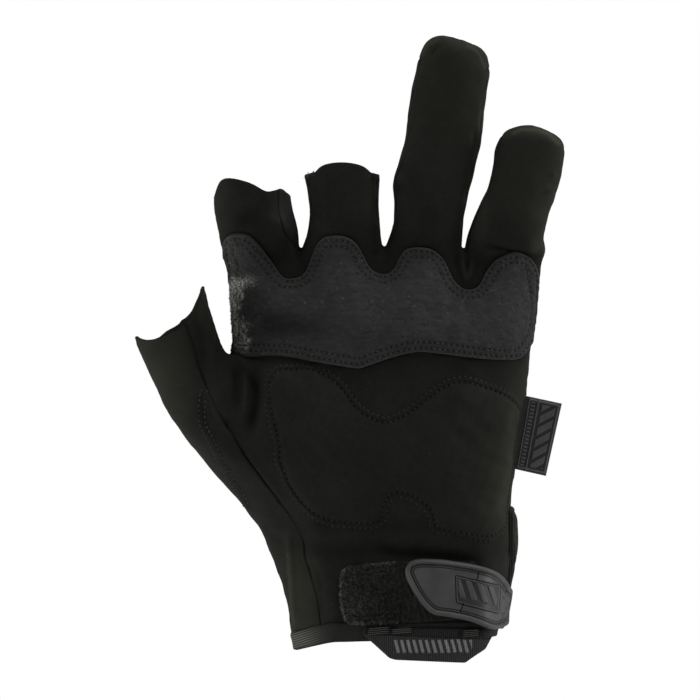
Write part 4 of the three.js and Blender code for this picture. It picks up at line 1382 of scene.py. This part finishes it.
LOOP_PROFILE = [(0, -0.5), (0.05, 0.7), (0.3, 1.3), (0.9, 1.6), (1.6, 1.5), (2.4, 1.75), (4, 1.8)]
LOOP_FIBRES = 1700
BORDER_FIBRES = 260
data, triangles, top, _ = sewn_overlay(
    "loop_thread", rounded_outline(LOOP_OUTLINE, 2), CLOSURE_END_Y, -1, LOOP_PROFILE,
    shape=lambda d: slope(d) + bumps(d, (0.22, 1.7, 14), (0.12, 0.9, 15)),
)
mesh_piece("loop_patch_pile", top, [triangles], LOOP, ("loop_patch",))
is_bare = 1 - smoothstep(data[:, 0], -4, 0)
for name, chance, count, look in (
    ("loop_fibre", is_bare * (data[:, DEPTH] > 0.2), LOOP_FIBRES, FIBRE),
    ("border_fibre", is_bare * hump(data[:, DEPTH] - 0.5, 0.35), BORDER_FIBRES, EDGE_FIBRE),
):
    picked = rng.choice(len(data), count, p=chance / chance.sum())
    fibres(name, top[picked], data[picked, NORMAL], length=1.4, width=0.22, spread=0.3)
    build_threads(name, look)

# Strap over the back of the wrist, thinner at its upper corner on the wrist's side
STRAP_FORWARD = 6.5
STRAP_RISE = (26, 31)
STRAP_SHOULDER = (41, 47)
STRAP_SIDE = (28, 36)
STRAP_THINNING = 1.4
STRAP_PROFILE = [
    (0, -0.4), (0.05, 1.2), (0.3, 1.9), (0.9, 2.3), (1.7, 2.2), (2.2, 2.05), (2.8, 2.3), (6, 2.5),
]


def strap_shape(data):
    shoulder = smoothstep(data[:, 2], *STRAP_SHOULDER) * smoothstep(data[:, 0], *STRAP_SIDE)
    return slope(data) - STRAP_THINNING * shoulder


data, triangles, top, pulled = sewn_overlay(
    "strap_thread", rounded_outline(STRAP_OUTLINE, 7), TAB_END_Y + 0.3, 1, STRAP_PROFILE, (2.2,),
    extra=0, shape=strap_shape, forward=lambda d: STRAP_FORWARD * smoothstep(d[:, 2], *STRAP_RISE),
)
mesh_piece(
    "closure_strap_cloth", top, [triangles], STRAP, ("closure_strap",),
    # Painted light: lighter olive towards the strap's side
    {"shade": 0.5 * pulled, "painted_light": 0.3 * smoothstep(data[:, 0], 34, 39)},
)
build_threads("strap_thread", THREAD)

# Tab: a rounded rim, a double groove inside it, a plate with a plain raised pattern, short cuts
# beside the plate, and ribs and pips at its end
TAB_PROFILE = [
    (0, 0), (0.04, 0.9), (0.22, 1.8), (0.6, 2.3), (1.05, 2.5), (1.5, 2.4), (1.8, 2.1), (1.95, 1.65),
    (2.25, 1.65), (2.35, 1.95), (2.65, 1.95), (2.75, 1.65), (3.0, 1.65), (3.15, 1.95), (8, 2.05),
]
PLATE_PROFILE = [
    (-0.35, 0), (-0.2, -0.5), (0, -0.5), (0.12, 0.05), (0.45, 0.05), (0.55, -0.3), (4, -0.3),
]
TAB_CUTS = [((478, 571), (476, 579)), ((463, 602), (459.5, 610.5))]
TAB_PIPS = [(507, 591), (503.5, 597), (506, 607.5), (502.4, 613)]
TAB_RIBS = [((511, 601), (499, 624)), ((513, 604), (502, 626))]
TAB_FACE = 2.0
GROOVE_DEPTH = 0.5
PLATE_SLANT = 0.28
PLATE_RELIEF = 0.4
BAR_COUNT = 4
BAR_SLANT = 1.2
BARS_FROM = (0.46, 0.5)
LINE_AT, LINE_HALF = 0.25, 0.07


def tab_base(data):
    descent = 1 - smoothstep(data[:, 0], *TAB_DESCENT)
    return REST_GAP + slope(data) + (LOOP_WALL + REST_GAP) * descent


def tab_seen(data):
    return lift(data, tab_base(data) + TAB_FACE)


plate_outline = rounded_outline(TAB_PLATE, 0.6)
data, triangles = overlay_sheet(
    rounded_outline(TAB_OUTLINE, 2), TAB_END_Y, -1, [d for d, _ in TAB_PROFILE], 2,
    (lambda d: outline_depth(tab_seen(d), plate_outline), [d for d, _ in PLATE_PROFILE]), tab_seen,
)
rim_depth, plate_depth = data[:, DEPTH], data[:, DEPTH + 1]
face = tab_seen(data)
low, high = places(TAB_PLATE).min(axis=0), places(TAB_PLATE).max(axis=0)
across = (face[:, 0] - low[0]) / (high[0] - low[0])
up = (face[:, 2] - low[1]) / (high[1] - low[1]) + PLATE_SLANT * across
bars = smoothstep(np.sin((across * BAR_COUNT + up * BAR_SLANT) * math.tau), -0.2, 0.2)
bars = np.clip(bars * smoothstep(up, *BARS_FROM) + hump(up - LINE_AT, LINE_HALF), 0, 1)
groove = sum(hump(off_path(face, cut), 0.22) for cut in TAB_CUTS)
groove = groove + sum(0.7 * hump(off_path(face, rib), 0.25) for rib in TAB_RIBS)
groove = groove + sum(hump(np.linalg.norm(face[:, [0, 2]] - place(*pip), axis=1), 0.38) for pip in TAB_PIPS)
groove *= face[:, 1] < 0
height = heights(rim_depth, TAB_PROFILE) + heights(plate_depth, PLATE_PROFILE)
height += PLATE_RELIEF * bars * smoothstep(plate_depth, 0.7, 0.9) - GROOVE_DEPTH * groove + tab_base(data)
shade = 0.9 * hump(rim_depth - 2.1, 0.3) + 0.8 * hump(rim_depth - 2.87, 0.24)
shade += 0.85 * hump(plate_depth + 0.1, 0.2) + 0.7 * smoothstep(plate_depth, 0.5, 0.6) * (1 - bars)
mesh_piece(
    "closure_tab_rubber", lift(data, height), [triangles], RUBBER, ("closure_tab",),
    {"shade": np.clip(shade + 0.8 * groove, 0, 0.9)},
)

# Pull tab of webbing, with a plain woven tracer, held to the hem by bar tacks
PULL_BACK = HEM_RISE + REST_GAP
PULL_PROFILE = [(0, PULL_BACK), (0.04, 1.6), (0.25, 2.0), (0.6, 2.2), (8, 2.2)]
TRACER_CORNERS = [(393, 638), (469, 651)]
TRACER_PITCH = 2.1
FOLD_X, FOLD_Z, FOLD_SLOPE = -12, 2.6, -0.045
# Both ends and the height of each bar tack, in pixels
TACKS = [(366.5, 389, 629.5), (391.5, 412.5, 628.5), (456, 478, 632)]
TACK_ROWS = 4
TACK_PITCH = 0.62
TACK_WAY = np.array([[1, 0, 0.07]])
data, triangles = overlay_sheet(
    rounded_outline(PULL_TAB_OUTLINE, 0.6), CLOSURE_END_Y, -1, [d for d, _ in PULL_PROFILE]
)
x, z = data[:, 0], data[:, 2]
front = lift(data, heights(data[:, DEPTH], PULL_PROFILE))
back = lift(data, np.full(len(data), PULL_BACK))
(left, top_z), (right, low_z) = places(TRACER_CORNERS)
tracer = smoothstep(np.minimum(x - left, right - x), 0, 0.1)
tracer *= smoothstep(np.minimum(z - low_z, top_z - z), 0, 0.15)
tracer *= smoothstep(np.sin((x + 0.25 * z) * math.tau / TRACER_PITCH), -0.1, 0.2)
above_fold = z - FOLD_Z - FOLD_SLOPE * (x - FOLD_X)
shade = 0.5 * smoothstep(above_fold, -0.1, 0.1) + 0.9 * hump(above_fold, 0.2)
webbing_front = Front(front, data[:, NORMAL])
for start, end, py in TACKS:
    tack_x, tack_z = place((start + end) / 2, py)
    length = (end - start) * PIXEL
    shade += 0.6 * hump(np.maximum(np.abs(x - tack_x) - length / 2, 0), 0.3) * hump(z - tack_z, 1.1)
    for row in range(TACK_ROWS):
        centre, normal = webbing_front.at([(tack_x, tack_z + (row - (TACK_ROWS - 1) / 2) * TACK_PITCH)])
        add_threads("tack_thread", centre + unit(normal) * 0.2, TACK_WAY, normal, [length], 0.42)
fields = {"tracer": tracer, "shade": np.clip(shade, 0, 0.9)}
mesh_piece(
    "pull_tab_webbing", np.concatenate((front, back)), [triangles, triangles[:, ::-1] + len(data)],
    webbing(), ("pull_tab",),
    {name: np.concatenate((values, 0 * values)) for name, values in fields.items()},
)
build_threads("tack_thread", TACK_THREAD)

# Side label: a flag with a raised border, a narrow strip, and a field with a plain pattern
LABEL_STEPS = (140, 220)
LABEL_STRIP = 0.5
LABEL_BAND = 4.0
LABEL_ROUND = 0.4
LABEL_BORDER = 0.95
LABEL_LINE = 0.28
LABEL_BAR_PITCH = 4.2
LABEL_BAR_SLANT = 0.8
LABEL_STEP_PITCH = 1.3
LABEL_RELIEF = 0.3
LABEL_BEND = 0.5


def label():
    a, b, c, d = (np.array(p, float) for p in LABEL_CORNERS)
    u, v = np.meshgrid(*(np.linspace(0, 1, steps) for steps in LABEL_STEPS), indexing="ij")
    flat = lerp(lerp(a, b, u[..., None]), lerp(d, c, u[..., None]), v[..., None])
    width, height = np.linalg.norm(b - a), np.linalg.norm(d - a)
    edge = np.minimum(np.minimum(u, 1 - u) * width, np.minimum(v, 1 - v) * height)
    body = 0.5 * LABEL_WALL * np.sqrt(np.clip(1 - (1 - np.clip(edge / LABEL_ROUND, 0, 1)) ** 2, 0, 1))
    edge = np.minimum(edge, u * width - LABEL_BAND)
    border = hump(edge - LABEL_BORDER, LABEL_LINE)
    divider = hump((u - LABEL_STRIP) * width, LABEL_LINE)
    in_field = smoothstep(u, LABEL_STRIP + 0.07, LABEL_STRIP + 0.1) * smoothstep(edge, 1.75, 1.95)
    in_strip = (1 - smoothstep(u, LABEL_STRIP - 0.07, LABEL_STRIP - 0.05)) * smoothstep(edge, 1.5, 1.7)
    bars = np.sin((v * height + LABEL_BAR_SLANT * u * width) * math.pi / LABEL_BAR_PITCH)
    bars = smoothstep(np.abs(bars), 0.45, 0.6)
    steps = smoothstep(np.sin(v * height * math.tau / LABEL_STEP_PITCH), -0.2, 0.2)
    raised = np.clip(border + divider + in_field * bars + in_strip * steps, 0, 1)
    half = body + LABEL_RELIEF * raised
    bend = LABEL_BEND * np.sin(v * 2.2) * u
    front, back = (
        np.stack((flat[..., 0], LABEL_Y + side * half + bend, flat[..., 1]), axis=-1).reshape(-1, 3)
        for side in (-1, 1)
    )
    index = np.arange(u.size).reshape(u.shape)
    quads = np.stack((index[:-1, :-1], index[:-1, 1:], index[1:, 1:], index[1:, :-1]), axis=-1).reshape(-1, 4)
    mesh_piece(
        "side_label_flag", np.concatenate((front, back)), [quads, quads[:, ::-1] + u.size],
        LABEL, ("side_label",), {"shade": np.tile(0.85 * (1 - raised.ravel()), 2)},
    )


label()

# Frayed thread ends at the corners of the middle finger's rim and beside the tab
FRAY_COUNT = 10
FRAYS = [(308, 177), (374, 178), (312, 175), (371, 177), (490, 634), (494, 632)]
skin_front = Front(skin, skin_normals)
for px, py in FRAYS:
    flat = np.array(place(px, py)) + rng.normal(scale=0.6, size=(FRAY_COUNT, 2)) * (1, 0.8)
    centres, normals = skin_front.at(flat)
    centres[:, 2] = flat[:, 1]
    centres += normals * rng.uniform(0, 0.15, (FRAY_COUNT, 1))
    fibres("fray", centres, normals, length=1.2, width=0.2, spread=1)
build_threads("fray", FRAY)

# Stage: pale floor, white background and soft studio lights
FLOOR = (centre_x * MM, 0, -0.045)
FLOOR_RADIUS = 0.38
SEEN, LIT = 1.0, 0.35
bpy.ops.mesh.primitive_circle_add(vertices=96, radius=FLOOR_RADIUS, fill_type="NGON", location=FLOOR)
floor = bpy.context.object
floor.name = "floor"
floor.data.materials.append(Shader("floor", gray(0.82)).finish(0.9))

world = bpy.data.worlds.new("studio")
bpy.context.scene.world = world
world.use_nodes = True
nodes, links = world.node_tree.nodes, world.node_tree.links
nodes.clear()
path, both, out = (nodes.new("ShaderNode" + kind) for kind in ("LightPath", "MixShader", "OutputWorld"))
links.new(path.outputs["Is Camera Ray"], both.inputs[0])
for socket, strength in ((1, LIT), (2, SEEN)):
    background = nodes.new("ShaderNodeBackground")
    background.inputs["Color"].default_value = (1, 1, 1, 1)
    background.inputs["Strength"].default_value = strength
    links.new(background.outputs[0], both.inputs[socket])
links.new(both.outputs[0], out.inputs[0])
bpy.context.scene.view_settings.view_transform = "Standard"

# Area lights turned to the glove's middle: energy, size in metres and place in millimetres
LIGHTS = {
    "left": (1.3, 0.3, (-360, -110, 10)),
    "right": (7.4, 0.5, (1000, -30, 250)),
    "top": (8, 0.5, (250, -80, 1000)),
}
for name, (energy, size, at) in LIGHTS.items():
    lamp = bpy.data.lights.new(name, "AREA")
    lamp.energy = energy
    lamp.size = size
    light = bpy.data.objects.new(name, lamp)
    light.location = [v * MM for v in at]
    way = Vector((centre_x - at[0], -at[1], centre_z - at[2]))
    light.rotation_euler = way.to_track_quat("-Z", "Y").to_euler()
    bpy.context.collection.objects.link(light)
